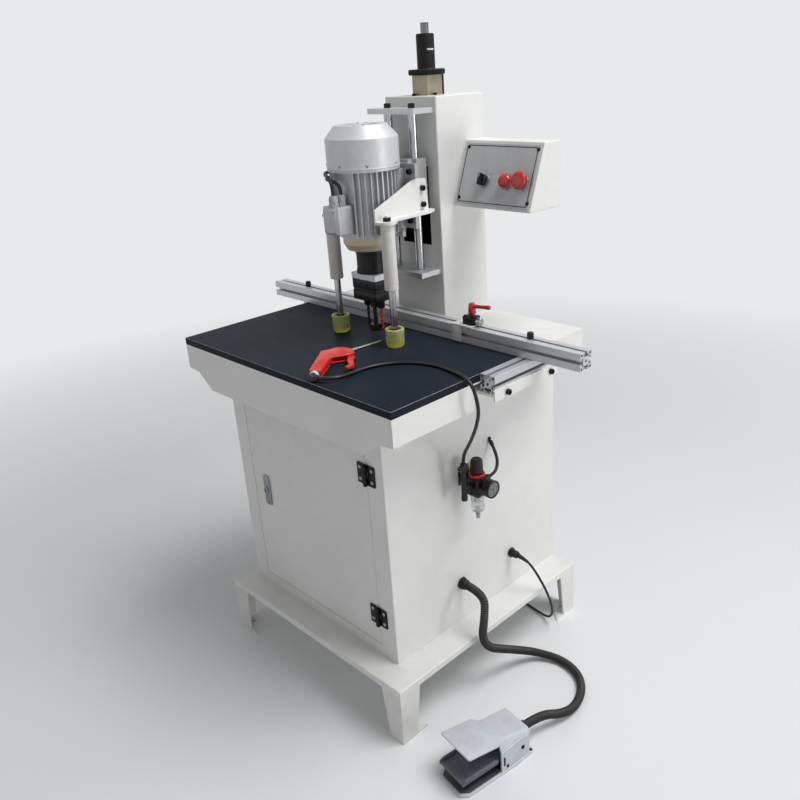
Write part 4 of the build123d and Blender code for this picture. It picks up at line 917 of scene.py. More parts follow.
@dataclass
class TableAndFence:
    """Table, side rail, fence with its knobs, stop and lever."""

    shop: Workshop
    fence_y: float = 66.0
    fence_top: float = 890.3
    knob_x: tuple[float, float] = (-386.0, 396.5)
    knob_low: tuple[float, float] = (839.4, 840.0)
    lever_at: tuple[float, float] = (229.0, 66.0)

    def build(self) -> None:
        """Dress the table and make the fence fittings."""
        self.shop.dress(PAINT, "table_frame")
        self.shop.dress(BOARD, "table_board")
        self.shop.dress(ALU_Y, "side_rail")
        self.shop.dress(ALU_X, "fence_rail")
        self.board_line()
        for name, x, low in zip(("left", "right"), self.knob_x, self.knob_low):
            self.knob(name, x, low)
        self.stop()
        self.lever()

    def board_line(self) -> None:
        """Pale line along the chamfer of the board's front and sides: a painted highlight where the edge
        catches the light.
        """
        path = [(376.2, 92), (376.2, -332.7), (-376.2, -332.7), (-376.2, 92)]
        corners = np.asarray(path, float)
        t = np.linspace(0, 1, 40)[:, None]
        legs = np.concatenate([corners[i] * (1 - t) + corners[i + 1] * t for i in range(3)])
        line = np.column_stack([legs, np.full(len(legs), 849.15)])
        keep = np.concatenate([[True], np.linalg.norm(np.diff(line, axis=0), axis=1) > 1e-6])
        section = np.array([(-0.25, 0.35), (-0.1, 0.5), (0.5, -0.1), (0.35, -0.25)])
        skin = Skin().add(carried(section, line[keep], (0, 0, 1)))
        self.shop.piece("board_edge_painted_highlight", skin, EDGE_HIGHLIGHT, "machine")

    def knob(self, name: str, x: float, low: float) -> None:
        """Small fluted lock knob on its stud.

        Args:
            name: Side of the knob.
            x: Place along the fence.
            low: Lower end of the stud.
        """
        top = self.fence_top
        head = [(6.0, top + 0.3), (6.6, top + 0.6), (7.5, top + 2.4), (7.5, top + 12), (6.9, top + 14.2),
                (5.2, top + 15), (3.0, top + 14.6)]
        skin = Skin().add(turned(head, 60, on_rows([2, 3, 4], 7, grips(12, 0.14, 60))),
                          upright(x, self.fence_y))
        skin.add(post(2.95, low, top + 1, 0.3), upright(x, self.fence_y))
        self.shop.piece(f"{name}_fence_knob_fluted", skin, BLACK_PLASTIC, f"{name}_lock",
                        f"{name}_fence_knob")

    def stop(self) -> None:
        """White folded plate, black clamp block and bright stop pin."""
        plate = Skin()
        plate.add(slab(rounded([(184, 42.7), (243, 42.7), (243, 80), (184, 80)], 2.5), 3, 0.5),
                  upright(0, 0, 890.6))
        leg = frontal(0, 45.7, 0)
        plate.add(slab(rounded([(184, 852), (212, 852), (212, 893.4), (184, 893.4)], 2.5), 3, 0.5), leg)
        self.shop.piece("stop_plate", plate, PAINT, "stop")
        body = Skin().add(*block((209, 243), (52, 80), (893.7, 912), 5, 1.2))
        body.add(*block((218, 240), (60.2, 71.8), (880.2, 885), 1, 0.4))
        body.add(post(2.95, 884, 891, 0.3), upright(*self.lever_at))
        for y in (58, 74):
            body.add(cap_screw(7, 3), upright(215, y, 911.6))
        self.shop.piece("stop_block", body, BLACK_STEEL, "stop", "stop_carrier")
        pin = [(8.2, 0), (9, 0.8), (9, 9), (8.4, 9.4), (8.4, 10.2), (9, 10.6), (9, 12.2), (8.2, 13)]
        skin = Skin().add(turned(pin, 48), facing((243, self.fence_y, 902), (1, 0, 0)))
        self.shop.piece("stop_pin", skin, CHROME, "stop")

    def lever(self) -> None:
        """Red moulded clamp lever: flared hub, waisted arm and ball end."""
        x, y = self.lever_at
        hub = [(5.6, 912.3), (6, 913), (6, 917.4), (9, 918.6), (9.2, 922), (8.2, 934), (7.6, 940),
               (6.2, 942.6), (3, 943), (2.6, 942)]
        skin = Skin().add(turned(hub, 48), upright(x, y))
        arm = [(3.4, -2), (4.6, 2), (4.6, 8), (4.0, 26), (4.3, 40), (4.9, 46), (5.35, 50), (4.7, 53),
               (3.2, 54.7), (1.2, 55.3)]
        skin.add(turned(arm, 36), facing((x, y, 935), (49, 0, 5)))
        self.shop.piece("stop_lever_moulded", skin, RED, "lever", "stop_lever")


@dataclass
class ColumnAndFeed:
    """Column, guide rods, feed rod and the depth stop on top."""

    shop: Workshop
    feed_y: float = 188.0
    head_half: float = 25.5
    head_z: tuple[float, float] = (1384.0, 1428.0)
    tube: float = 21.0
    disc: float = 43.0

    def build(self) -> None:
        """Dress the column and make the turned depth stop."""
        self.shop.dress(COLUMN_PAINT, "column")
        self.shop.dress(CHROME, "guide_rods")
        self.shop.dress(FEED_STEEL, "feed_rod")
        self.shop.dress(FEED_HEAD, "feed_cylinder")
        self.head_back()
        self.depth_stop()

    def head_back(self) -> None:
        """Black plate with an air port behind the feed cylinder's head block."""
        rear = self.feed_y + self.head_half - 0.1
        half = self.head_half
        skin = Skin().add(*block((-half, half), (rear, rear + 5.2), self.head_z, 1, 0.6))
        for x in (-19, 19):
            for z in (1391, 1421):
                skin.add(cap_screw(6, 1.6), facing((x, rear + 5, z), (0, 1, 0)))
        self.shop.piece("feed_head_plate", skin, BLACK_STEEL, "machine")
        port = Skin().add(hex_nut(17, 6, 9), facing((0, rear + 5, 1406), (0, 1, 0)))
        self.shop.piece("feed_head_port", port, BRASS, "machine")

    def depth_stop(self) -> None:
        """Finely knurled black disc and sleeve with a short pale mark on the sleeve."""
        d, t = self.disc, self.tube
        disc = [(9.6, 1428.3), (d - 3, 1428.3), (d - 1, 1429.4), (d, 1431.2), (d, 1438), (d - 1, 1440),
                (d - 2.6, 1441), (t + 1.5, 1441), (t + 0.3, 1442), (t, 1443), (t, 1514), (t - 1.1, 1516.4),
                (t - 3, 1517), (9.6, 1517)]
        shape = on_rows([3, 4], len(disc), grips(90, 0.018, 360))
        skin = Skin().add(turned(disc, 360, shape), upright(0, self.feed_y), loop=True)
        self.shop.piece("depth_stop_turned", skin, STOP_BLACK, "depth_stop", "depth_stop")
        angles = np.radians(np.linspace(-35, 14, 24))
        arc = np.stack([t * np.cos(angles), self.feed_y + t * np.sin(angles), np.full(24, 1483.0)], -1)
        mark = np.array([(-0.12, -1.8), (0.12, -1.8), (0.12, 1.8), (-0.12, 1.8)])
        self.shop.piece("depth_stop_pale_mark", Skin().add(carried(mark, arc, (0, 0, 1))), PALE_INK, "depth_stop")


@dataclass
class BoringHead:
    """Carriage, motor, gearbox, spindles and the two hold-downs."""

    shop: Workshop
    axis_y: float = -28.0
    pitch: float = 24.0
    clamp_x: tuple[float, float] = (-91.0, 103.0)
    clamp_y: float = -62.0
    clamp_r: float = 16.0
    gland_at: tuple = ((8.0, -129.0), (8.0, -107.0))
    teeth: int = 16

    def build(self) -> None:
        """Dress the carried parts and make the detailed ones."""
        self.shop.dress(CARRIAGE, "carriage")
        self.shop.dress(MOTOR, "motor_body")
        self.shop.dress(COWL, "fan_cowl")
        self.shop.dress(ALU_X, "adapter_plate")
        self.shop.dress(PAINT, "clamp_arms")
        self.shop.dress(ROD_END, "left_clamp_rod", "right_clamp_rod")
        self.shop.dress(DRIVE_STEEL, "drive_spindle")
        self.cowl_trim()
        self.terminal_box()
        self.coupling_and_gearbox()
        self.spindle("left", -self.pitch, BLACK_STEEL)
        self.spindle("right", self.pitch, RED)
        self.clamps()
        self.bolts()

    def cowl_trim(self) -> None:
        """Rolled bead at the cowl's lower rim and its fixing screws."""
        bead = [(81.6, 1247.3), (82.6, 1247.5), (83.1, 1248.4), (82.6, 1249.4), (81.6, 1249.6)]
        skin = Skin().add(turned(bead, 96), upright(0, self.axis_y), loop=True)
        self.shop.piece("cowl_bead", skin, COWL, "head")
        heads, wall, level = Skin(), 81.4, 1255
        for turn in (-80, -35, 20, 100, 160, 230):
            way = (math.cos(math.radians(turn)), math.sin(math.radians(turn)), 0)
            heads.add(dome_screw(7, 2.0), facing((wall * way[0], self.axis_y + wall * way[1], level), way))
        self.shop.piece("cowl_screws", heads, STEEL, "head")

    def terminal_box(self) -> None:
        """Cast terminal box with a bevelled lid, lid screws and two cable glands."""
        at = frontal(3, -97.05, 1141)
        lines = [(0, 0), (30, 0), (30.4, 0.6), (31.2, 0.6), (31.6, 0), (38.5, 0), (44.2, 5.6), (44.9, 6.6)]
        rows = [np.column_stack([oblong(26 - i, 31 - i, 3), np.full(20, height)]) for height, i in lines]
        skin = Skin().add(np.stack(rows), at)
        self.shop.piece("terminal_box_cast", skin, CAST, "head", "terminal_box", sharp=25)
        gland = [(10.7, 1172), (10.7, 1180), (9.9, 1180.7), (9.9, 1182), (10.6, 1183), (10.4, 1190),
                 (9.4, 1192.4), (8.2, 1195.2), (6.4, 1196), (4.2, 1196)]
        shape = on_rows([0, 1], len(gland), many_sided(6, 48))
        shape *= on_rows([4, 5], len(gland), grips(16, 0.06, 48))
        for name, spot in zip(("front", "rear"), self.gland_at):
            skin = Skin().add(turned(gland, 48, shape), upright(*spot))
            self.shop.piece(f"terminal_gland_{name}", skin, GREY_PLASTIC, "head")
        heads = Skin()
        for x in (-16, 16):
            for z in (-21, 21):
                heads.add(dome_screw(6, 1.6), at.at(x, z, 44.5))
        self.shop.piece("terminal_lid_screws", heads, STEEL, "head")

    def coupling_and_gearbox(self) -> None:
        """Rimmed coupling housing, and the gearbox with its cover and bearing collars."""
        hub = [(26, 1005), (34.3, 1005), (35, 1005.7), (35, 1014), (34.3, 1014.7), (33.6, 1015.4),
               (33.6, 1051), (34.3, 1051.7), (35, 1052.4), (35, 1062.3), (34.3, 1063), (26, 1063)]
        skin = Skin().add(turned(hub, 64), upright(0, self.axis_y), loop=True)
        self.shop.piece("coupling_housing_turned", skin, BLACK_STEEL, "head", "coupling_housing")
        box = Skin()
        for half, lap, z, ease in ((41, 1, (940, 962), 1.2), (40, 0, (961, 969), 0.5),
                                   (41, 1, (968, 991), 1.2)):
            box.add(*block((-half, half), (-56 - lap, lap), z, 3, ease))
        for x in (-self.pitch, 0.0, self.pitch):
            collar = [(7.6, 936.5), (10.6, 936.5), (11.4, 937.3), (11.4, 940.5), (7.6, 940.5)]
            box.add(turned(collar, 40), upright(x, self.axis_y), loop=True)
        self.shop.piece("gearbox_case", box, BLACK_STEEL, "head", "gearbox")
        heads = Skin()
        for x in (-33, -11, 11, 33):
            for z in (950, 980):
                heads.add(cap_screw(6, 1.6), facing((x, -56.8, z), (0, -1, 0)))
        for y in (-46, -10):
            for z in (950, 980):
                heads.add(cap_screw(6, 1.6), facing((40.8, y, z), (1, 0, 0)))
        self.shop.piece("gearbox_screws", heads, STOP_BLACK, "head")

    def spindle(self, name: str, x: float, bit: Finish) -> None:
        """Side spindle with its gear and chuck, and a fluted drill.

        Args:
            name: Side of the spindle.
            x: Place of its axis.
            bit: Finish of the drill.
        """
        at = upright(x, self.axis_y)
        shaft = [(6.4, 986), (7, 985.4), (7, 938), (8.4, 938), (9, 937.4), (9, 923), (7.6, 920.4), (4, 920)]
        skin = Skin().add(turned(shaft, 40), at)
        tooth = 0.5 + 0.5 * np.tanh(3.0 * np.cos(self.teeth * ring_angles(320) + math.pi))
        skin.add(slab(polar(10.1 + 3.0 * tooth, 320), 20, 0.3), upright(x, self.axis_y, 955))
        skin.add(cap_screw(4.5, 1.4), facing((x, self.axis_y - 8.8, 929), (0, -1, 0)))
        self.shop.piece(f"{name}_spindle_turned", skin, BLACK_STEEL, f"{name}_drill", f"{name}_spindle")
        lobe = polar(3.5 - 0.9 * (0.5 + 0.5 * np.cos(2 * ring_angles(40))) ** 2, 40)
        rise = np.linspace(864.4, 921, 80)
        taper = np.clip((rise - 863.8) / 4.0, 0.15, 1.0)
        skin = Skin().add(twisted(lobe, rise, 2.4, taper), at)
        self.shop.piece(f"{name}_drill_bit", skin, bit, f"{name}_drill")

    def clamps(self) -> None:
        """Hold-down cylinders with end caps and air ports, and the translucent pads."""
        r = self.clamp_r
        inner = [(12.48, 1122), (12.48, 996), (8.15, 996)]
        body = [(8.15, 984), (r - 1.4, 984), (r, 985.4), (r, 997), (r - 0.6, 997.6), (r - 0.6, 998.6),
                (r, 999.2), (r, 1116.8), (r - 0.6, 1117.4), (r - 0.6, 1118.4), (r, 1119), (r, 1130.6),
                (r - 1.2, 1132), (5, 1132), (5, 1149.4), (4.4, 1150)]
        cylinders, ports = Skin(), Skin()
        y, way, out = self.clamp_y, (-0.68, 0.73, 0), 15.4
        for name, x in zip(("left", "right"), self.clamp_x):
            cylinders.add(turned(inner + body, 64), upright(x, y))
            for level in (991, 1124):
                ports.add(hex_nut(10, 4.5, 6), facing((x + way[0] * out, y + way[1] * out, level), way))
            self.pad(name, x, y)
        self.shop.piece("clamp_cylinder_tubes", cylinders, CLAMP_PAINT, "head", "clamp_cylinders")
        self.shop.piece("clamp_port_nuts", ports, BRASS, "head")

    def pad(self, name: str, x: float, y: float) -> None:
        """Cast elastomer pad: flared, with a rolled lip, a deep recess and a soft foot.

        Args:
            name: Side of the pad.
            x: Place of its axis.
            y: Place of its axis.
        """
        rows = [(8.05, 862.2), (8.05, 881), (15, 881), (15.1, 891.4), (15.8, 892.8), (17.2, 893.1),
                (20.6, 893), (22, 892.2), (22.4, 890.6), (22.1, 885), (21.2, 868), (20.6, 856), (20.3, 852.6),
                (19.4, 851), (17.6, 850.4)]
        skin = Skin().add(turned(rows, 64), upright(x, y))
        self.shop.piece(f"{name}_pad_cast", skin, PAD, f"{name}_clamp", f"{name}_clamp_pad", sharp=50)

    def bolts(self) -> None:
        """Cap screws of the arms and motor plate, and the nuts over the cylinders."""
        front, rear, screw_y = np.array([90.0, -84.0]), np.array([68.0, 104.0]), 81.0
        run = front - rear
        spot = rear + run * (screw_y - rear[1]) / run[1]
        out = np.array([-run[1], run[0]]) / np.linalg.norm(run)
        skin = Skin()
        for side in (-1, 1):
            for z in (1151, 1188):
                skin.add(cap_screw(13, 8), facing((side * spot[0], spot[1], z), (side * out[0], out[1], 0)))
        for x in self.clamp_x:
            skin.add(hex_nut(18, 8, 10), upright(x, self.clamp_y, 1138))
        for x, z in ((66, 1228), (62, 1117), (-62, 1117)):
            skin.add(cap_screw(13, 8), facing((x, 52, z), (0, -1, 0)))
        self.shop.piece("head_cap_screws", skin, BLACK_STEEL, "head", "head_bolts")


@dataclass
class ControlStation:
    """Slanted control box with its panel, selector and two red buttons."""

    shop: Workshop
    panel: Place = Place((84, 170, 1135), (1, 0, 0), (0, 0.35253, 0.9358), (0, -0.9358, 0.35253))
    size: tuple[float, float] = (231.0, 156.0)
    selector_at: tuple[float, float] = (84.0, 64.0)
    start_at: tuple[float, float] = (150.5, 65.0)
    stop_at: tuple[float, float] = (195.5, 67.0)

    def build(self) -> None:
        """Dress box and panel, and make the trim and the controls."""
        self.shop.dress(PAINT, "control_box")
        self.shop.dress(PANEL_GREY, "control_panel")
        self.trim()
        self.selector()
        self.buttons()

    def frame_line(self, half_x: float, half_y: float, width: float) -> Array:
        """Flat printed frame: an oblong path with a thin section carried round it."""
        path = oblong(half_x, half_y, 7, 6)
        inner = path - width * outward(path)
        low, high = np.full((len(path), 1), 1.9), np.full((len(path), 1), 2.18)
        rows = [np.hstack([path, low]), np.hstack([path, high]), np.hstack([inner, high]),
                np.hstack([inner, low])]
        return np.stack(rows)

    def trim(self) -> None:
        """Dark border line, tick marks round the selector and bright bezels."""
        middle = self.panel.at(self.size[0] / 2, self.size[1] / 2, 0)
        skin = Skin().add(self.frame_line(104, 66.5, 2.2), middle, loop=True)
        for turn in (-45, 0, 45):
            tick = self.panel.at(*self.selector_at, 1.9).spun(90 + turn).at(23, 0, 0)
            skin.add(slab(oblong(2.6, 0.7, 0.5), 0.28, 0.08), tick)
        self.shop.piece("panel_border_line", skin, LINE_INK, "machine")
        bezels = Skin()
        for (u, v), r in ((self.selector_at, 16.2), (self.start_at, 18.2), (self.stop_at, 16.2)):
            ring = [(r - 2.6, 1.9), (r + 0.6, 1.9), (r + 0.6, 4.4), (r - 0.4, 6), (r - 2.2, 6.2),
                    (r - 2.6, 5.6)]
            bezels.add(turned(ring, 56), self.panel.at(u, v, 0), loop=True)
        self.shop.piece("control_bezels", bezels, CHROME, "machine")

    def selector(self) -> None:
        """Black selector: ribbed collar, waisted grip bar and a pale pointer line."""
        at = self.panel.at(*self.selector_at, 0)
        collar = [(6.9, -13.8), (6.9, 6.3), (12.4, 6.3), (13, 7), (13, 14), (12.2, 15.6), (10.8, 16.2)]
        skin = Skin().add(turned(collar, 72, on_rows([3, 4], 7, grips(24, 0.035, 72))), at)
        grip = rounded([(-4.5, -13.5), (4.5, -13.5), (3.4, 0), (4.5, 13.5), (-4.5, 13.5), (-3.4, 0)], 3)
        skin.add(slab(grip, 9.4, 1.4), at.at(0, 0, 15.4))
        self.shop.piece("selector_moulded", skin, BLACK_PLASTIC, "selector", "selector_knob")
        mark = Skin().add(slab(oblong(0.7, 4.2, 0.5), 0.3, 0.08), at.at(0, 7.6, 24.6))
        self.shop.piece("selector_pointer", mark, PALE_INK, "selector")

    def buttons(self) -> None:
        """Domed start button, and the mushroom emergency button with a stepped neck."""
        t = np.linspace(0.22, 1.5, 10)
        at = self.panel.at(*self.start_at, 0)
        rows = [(7.9, -13.8), (7.9, 10.9), (16.2, 10.9), (16.6, 11.4)]
        rows += [(16.6 * math.cos(a) ** 0.9, 11.6 + 11.2 * math.sin(a)) for a in t]
        skin = Skin().add(turned(rows, 56), at)
        self.shop.piece("start_button_domed", skin, RED, "start", "start_button")
        at = self.panel.at(*self.stop_at, 0)
        rows = [(7.9, -13.8), (7.9, 11.1), (12.5, 11.3), (12.5, 12.4), (15, 13.6), (19, 14.4), (20, 15.6),
                (20, 20.5)]
        rows += [(20 * math.cos(a) ** 0.55, 20.5 + 5.6 * math.sin(a)) for a in t]
        shape = on_rows([6, 7], len(rows), grips(20, 0.025, 80))
        skin = Skin().add(turned(rows, 80, shape), at)
        self.shop.piece("emergency_mushroom", skin, RED, "estop", "estop_button")


@dataclass
class AirUnit:
    """Regulator with gauge, bowl and fittings on the right wall."""

    shop: Workshop
    at: tuple[float, float] = (312.0, -28.0)
    wall: float = 265.0
    riser_y: float = -72.0
    tube_end: tuple[Point, Point] = ((291.0, 66.0, 580.0), (277.0, 69.0, 597.0))
    branch_z: float = 606.0

    def build(self) -> None:
        """Make the regulator from top to bottom."""
        self.body()
        self.gauge()
        self.bowl()
        self.knob()
        self.fittings()

    def body(self) -> None:
        """Ribbed dark casting on its wall arm, the plated bracket behind it and the red lock ring."""
        x, y = self.at
        skin = Skin()
        for half, z, reach, ease in ((20, (526, 562), 6, 2), (21, (555, 566), 7, 1.5),
                                     (21, (522, 533), 7, 1.5)):
            skin.add(*block((x - half, x + half), (y - half, y + half), z, reach, ease))
        for shift in (-12.0, -4.0, 4.0, 12.0):
            skin.add(*block((x + shift - 1.5, x + shift + 1.5), (y - 21, y + 21), (532, 556), 1, 0.5))
        skin.add(*block((self.wall, self.wall + 3), (-42, -14), (530, 566), 1, 0.6))
        skin.add(*block((self.wall, x - 19), (-41, -15), (538, 556), 1, 0.8))
        for z in (534, 561):
            skin.add(cap_screw(6, 2), facing((self.wall + 2.8, -28, z), (1, 0, 0)))
        self.shop.piece("regulator_casting", skin, REG_BLACK, "machine", "regulator_body")
        plate = Skin().add(*block((285, 288), (-38, -14), (550, 592), 1, 0.6))
        self.shop.piece("regulator_bracket", plate, ZINC, "machine")
        ring = [(12, 566), (18.4, 566), (19, 566.8), (19, 573.6), (18.2, 574.8), (14, 575), (12, 575)]
        shape = on_rows([2, 3], len(ring), grips(30, 0.03, 120))
        skin = Skin().add(turned(ring, 120, shape), upright(x, y), loop=True)
        self.shop.piece("regulator_lock_ring", skin, RED, "machine")

    def gauge(self) -> None:
        """Round gauge on its stem: case with a stepped bezel, dial, ticks, pointer and lens."""
        at = rightward(343, self.at[1], 547)
        case = [(5.8, -10.4), (5.8, -1), (17, -1), (20.4, 0.8), (21.2, 3), (21.2, 14.5), (21.5, 15),
                (21.5, 18.8), (20.8, 19.7), (19.2, 20), (18.2, 19.4), (18, 16.6)]
        self.shop.piece("gauge_case", Skin().add(turned(case, 72), at), BLACK_PLASTIC, "machine")
        # The dial's grey tone is painted shade.
        dial = Skin().add(turned([(17.9, 16.2), (17.9, 16.9), (17.6, 17)], 64), at)
        self.shop.piece("gauge_dial", dial, DIAL, "machine")
        marks = Skin()
        for turn in range(-135, 136, 27):
            marks.add(slab(oblong(1.7, 0.35, 0.3), 0.25, 0.06), at.spun(90 + turn).at(15.2, 0, 16.95))
        needle = rounded([(-4, -0.9), (13, -0.25), (13, 0.25), (-4, 0.9)], 0.4)
        marks.add(slab(needle, 0.35, 0.1), at.spun(150).at(0, 0, 17.3))
        marks.add(turned([(1.9, 16.9), (1.9, 17.8), (1.3, 18.1)], 24), at)
        self.shop.piece("gauge_marks", marks, LINE_INK, "machine")
        lens = Skin().add(turned([(17.9, 18.4), (17.9, 18.8), (15, 19.2), (8, 19.5), (0.6, 19.6)], 64), at)
        self.shop.piece("gauge_lens", lens, CLEAR, "machine")

    def bowl(self) -> None:
        """Clear bowl with a thick rim, the filter element inside and a drain below."""
        x, y = self.at
        outer = [(17.4, 522), (18.4, 521.4), (18.4, 517), (16.6, 515.6), (16.4, 486), (15.6, 480), (13, 476),
                 (9, 474), (5.5, 474)]
        inner = [(5.5, 484), (10, 484.6), (13, 487), (14.2, 492), (14.4, 500), (14.4, 521.6)]
        skin = Skin().add(turned(outer + inner, 64), upright(x, y), loop=True)
        self.shop.piece("bowl_clear_shell", skin, BOWL, "machine", "filter_bowl")
        core = [(3, 500), (8.6, 500), (9.4, 501), (9.4, 504), (8, 505), (8, 514), (11, 515), (11, 521),
                (8, 521.8)]
        shape = on_rows([5, 4], len(core), grips(18, 0.08, 72))
        skin = Skin().add(turned(core, 72, shape), upright(x, y))
        self.shop.piece("filter_element", skin, PALE_INK, "machine")
        drain = [(3.4, 455), (4.6, 455.6), (4.6, 461), (5.4, 461.6), (5.4, 467), (3.6, 468), (3.6, 473),
                 (5.45, 474), (5.45, 484), (3, 485)]
        shape = on_rows([3, 4], len(drain), grips(14, 0.1, 56))
        skin = Skin().add(turned(drain, 56, shape), upright(x, y))
        self.shop.piece("bowl_drain", skin, GREY_PLASTIC, "machine")

    def knob(self) -> None:
        """Black pressure knob with grip hollows, a rounded shoulder and a shallow dish on top."""
        rows = [(11.8, 575.4), (11.8, 577), (14.9, 577.2), (15.5, 578.2), (15.5, 582), (15, 583), (14.7, 601),
                (13.6, 607), (11.4, 610.2), (8.4, 611), (7, 610.2)]
        shape = on_rows([4, 5, 6], len(rows), grips(20, 0.05, 120))
        skin = Skin().add(turned(rows, 120, shape), upright(*self.at))
        self.shop.piece("pressure_knob_ribbed", skin, BLACK_PLASTIC, "pressure", "regulator_knob")

    def fittings(self) -> None:
        """Black inlet column with its open side branch, the outlet elbow and the air tube's bulkhead."""
        x = self.at[0]
        brass, black = Skin(), Skin()
        inlet = frontal(x, -49, 547)
        nut = [(6, -0.5), (9, 0), (9, 6), (7, 6.8), (7, 20), (6, 23)]
        black.add(turned(nut, 48, on_rows([1, 2], 6, many_sided(6, 48))), inlet)
        riser = [(5.4, 521), (6.6, 521.3), (7.5, 522.4), (7.5, 531), (6.9, 532), (6.9, 590), (7.5, 591),
                 (7.5, 612), (6.6, 615.4), (5.6, 616), (4.1, 616), (4.05, 612)]
        black.add(turned(riser, 40), upright(x, self.riser_y))
        branch = frontal(x, self.riser_y, self.branch_z)
        black.add(turned([(5, 0), (6.5, 3), (6.5, 14), (5.6, 14.8), (4.06, 14.8), (4.06, 1)], 40), branch)
        brass.add(turned([(4.1, 14.4), (5.1, 14.4), (5.1, 15), (4.1, 15)], 40), branch, loop=True)
        outlet = Place((x, -7, 547), (1, 0, 0), (0, 0, -1), (0, 1, 0))
        brass.add(turned([(7.5, -0.5), (7.5, 8), (6, 8.6), (6, 9.4)], 48,
                         on_rows([0, 1], 4, many_sided(6, 48))), outlet)
        black.add(turned([(6.4, 9), (7.4, 9.6), (7.4, 17), (6.6, 20), (5.6, 21), (4.1, 21), (4.05, 12)], 40),
                  outlet)
        entry = rightward(self.wall, 71, 610)
        black.add(turned([(5, -12), (5, 2.6), (4.2, 3.8), (3, 4)], 40), entry)
        way = np.subtract(self.tube_end[1], self.tube_end[0])
        collar = [(4.1, 0), (4.6, 0), (5, 0.6), (5, 10.6), (4.4, 11.6), (3, 12)]
        black.add(turned(collar, 40), facing(self.tube_end[1], tuple(way)))
        self.shop.piece("air_fitting_brass", brass, BRASS, "machine")
        self.shop.piece("air_fitting_black", black, REG_BLACK, "machine", "air_fittings")


@dataclass
class BlowGun:
    """Orange-red blow gun that lies on the table."""

    shop: Workshop
    low: float = 850.5
    middle: float = 860.0
    pivot: tuple[float, float] = (93.0, -190.0)
    butt: tuple[float, float] = (121.0, -312.0)
    away: tuple[float, float] = (0.504, -0.864)
    hose_at: tuple[float, float] = (142.2, -320.5)

    def build(self) -> None:
        """Make body, nozzle, trigger, collar and elbow."""
        self.body()
        self.nozzle()
        self.trigger()
        self.hose_end()

    def body(self) -> None:
        """Moulded handle and head: two eased half shells about a core, open where the trigger sits."""
        outline = [(109, -319), (74, -276), (43, -238), (29, -224), (38, -208), (38, -186), (51, -173),
                   (76, -170), (99, -179), (99, -200), (80, -236), (103, -263), (133, -305)]
        shell = rounded(outline, 8, 7)
        skin = Skin().add(slab(shell, 4.5, 0.9, 4, 3.4), upright(0, 0, self.low))
        skin.add(slab(shell, 4.5, 3.4, 4, 0.9), upright(0, 0, self.low + 14.5))
        core = [(107, -315), (74, -276), (44, -238), (31, -224), (39, -208), (39, -187), (52, -175),
                (72, -172), (77, -186), (77, -205), (79, -232), (100, -262), (130, -303)]
        skin.add(slab(rounded(core, 6, 6), 11, 0.6), upright(0, 0, self.low + 4))
        for share in np.linspace(0.2, 0.8, 6):
            spot = (116 - 40 * share, -300 + 52 * share, self.low + 18.6)
            rib = Place(spot, (0.77, 0.64, 0), (-0.64, 0.77, 0), (0, 0, 1))
            skin.add(slab(oblong(11, 1.3, 1), 1.0, 0.5), rib)
        skin.add(post(2, self.low + 1, self.low + 18, 0.3, 24), upright(*self.pivot))
        skin.add(dome_screw(8, 1.4), upright(*self.pivot, self.low + 18.6))
        self.shop.piece("gun_body_moulded", skin, GUN_RED, "machine", "gun_body")

    def nozzle(self) -> None:
        """Slim bright nozzle with a nut at its root."""
        root, tip = np.array([64.0, -172.0, self.middle]), np.array([71.0, -78.0, self.middle])
        long = float(np.linalg.norm(tip - root))
        rows = [(5.4, -4), (6.2, -3), (6.2, 4), (5.4, 5), (4.6, 6), (4.3, 10), (3.2, 40), (2.7, long - 2),
                (2.4, long), (1.3, long), (1.2, long - 6)]
        shape = on_rows([1, 2], len(rows), many_sided(6, 40))
        skin = Skin().add(turned(rows, 40, shape), facing(tuple(root), tuple(tip - root)))
        self.shop.piece("gun_nozzle", skin, STEEL, "machine")

    def trigger(self) -> None:
        """Moulded trigger blade that swings about its pin."""
        blade = [(97, -182), (122, -206), (149, -226), (149, -247), (141, -248), (139, -233), (113, -217),
                 (94, -199)]
        low, high = self.middle - 4.5, self.middle + 4.5
        skin = Skin().add(slab(rounded(blade, 5, 6), 9, 2.2, 4), upright(0, 0, low))
        hub = [(2.1, low + 0.1), (6, low + 0.1), (7, low + 1), (7, high - 1), (6, high - 0.1),
               (2.1, high - 0.1)]
        skin.add(turned(hub, 36), upright(*self.pivot), loop=True)
        self.shop.piece("gun_trigger_moulded", skin, GUN_RED, "trigger", "gun_trigger")

    def hose_end(self) -> None:
        """White collar nut and dark blue swivel elbow at the butt."""
        dx, dy = self.away
        at = facing((*self.butt, self.middle), (dx, dy, 0.0))
        nut = [(7.4, -2), (9, -1.2), (9.5, 0), (9.5, 6.4), (8.8, 7.6), (7, 8)]
        skin = Skin().add(turned(nut, 72, on_rows([2, 3], 6, grips(18, 0.05, 72))), at)
        self.shop.piece("gun_collar", skin, WHITE_COLLAR, "machine")
        elbow = Skin().add(turned([(6.6, 7.6), (7.5, 8.4), (7.5, 22), (6.2, 24)], 40), at)
        back = (self.hose_at[0] + 14.1 * dy, self.hose_at[1] - 14.1 * dx, self.middle)
        elbow.add(turned([(6, 0), (7, 1), (7, 12.4), (6.4, 14), (4.1, 14), (4.05, 8)], 40),
                  facing(back, (-dy, dx, 0)))
        self.shop.piece("gun_elbow", elbow, BLUE_FITTING, "machine")


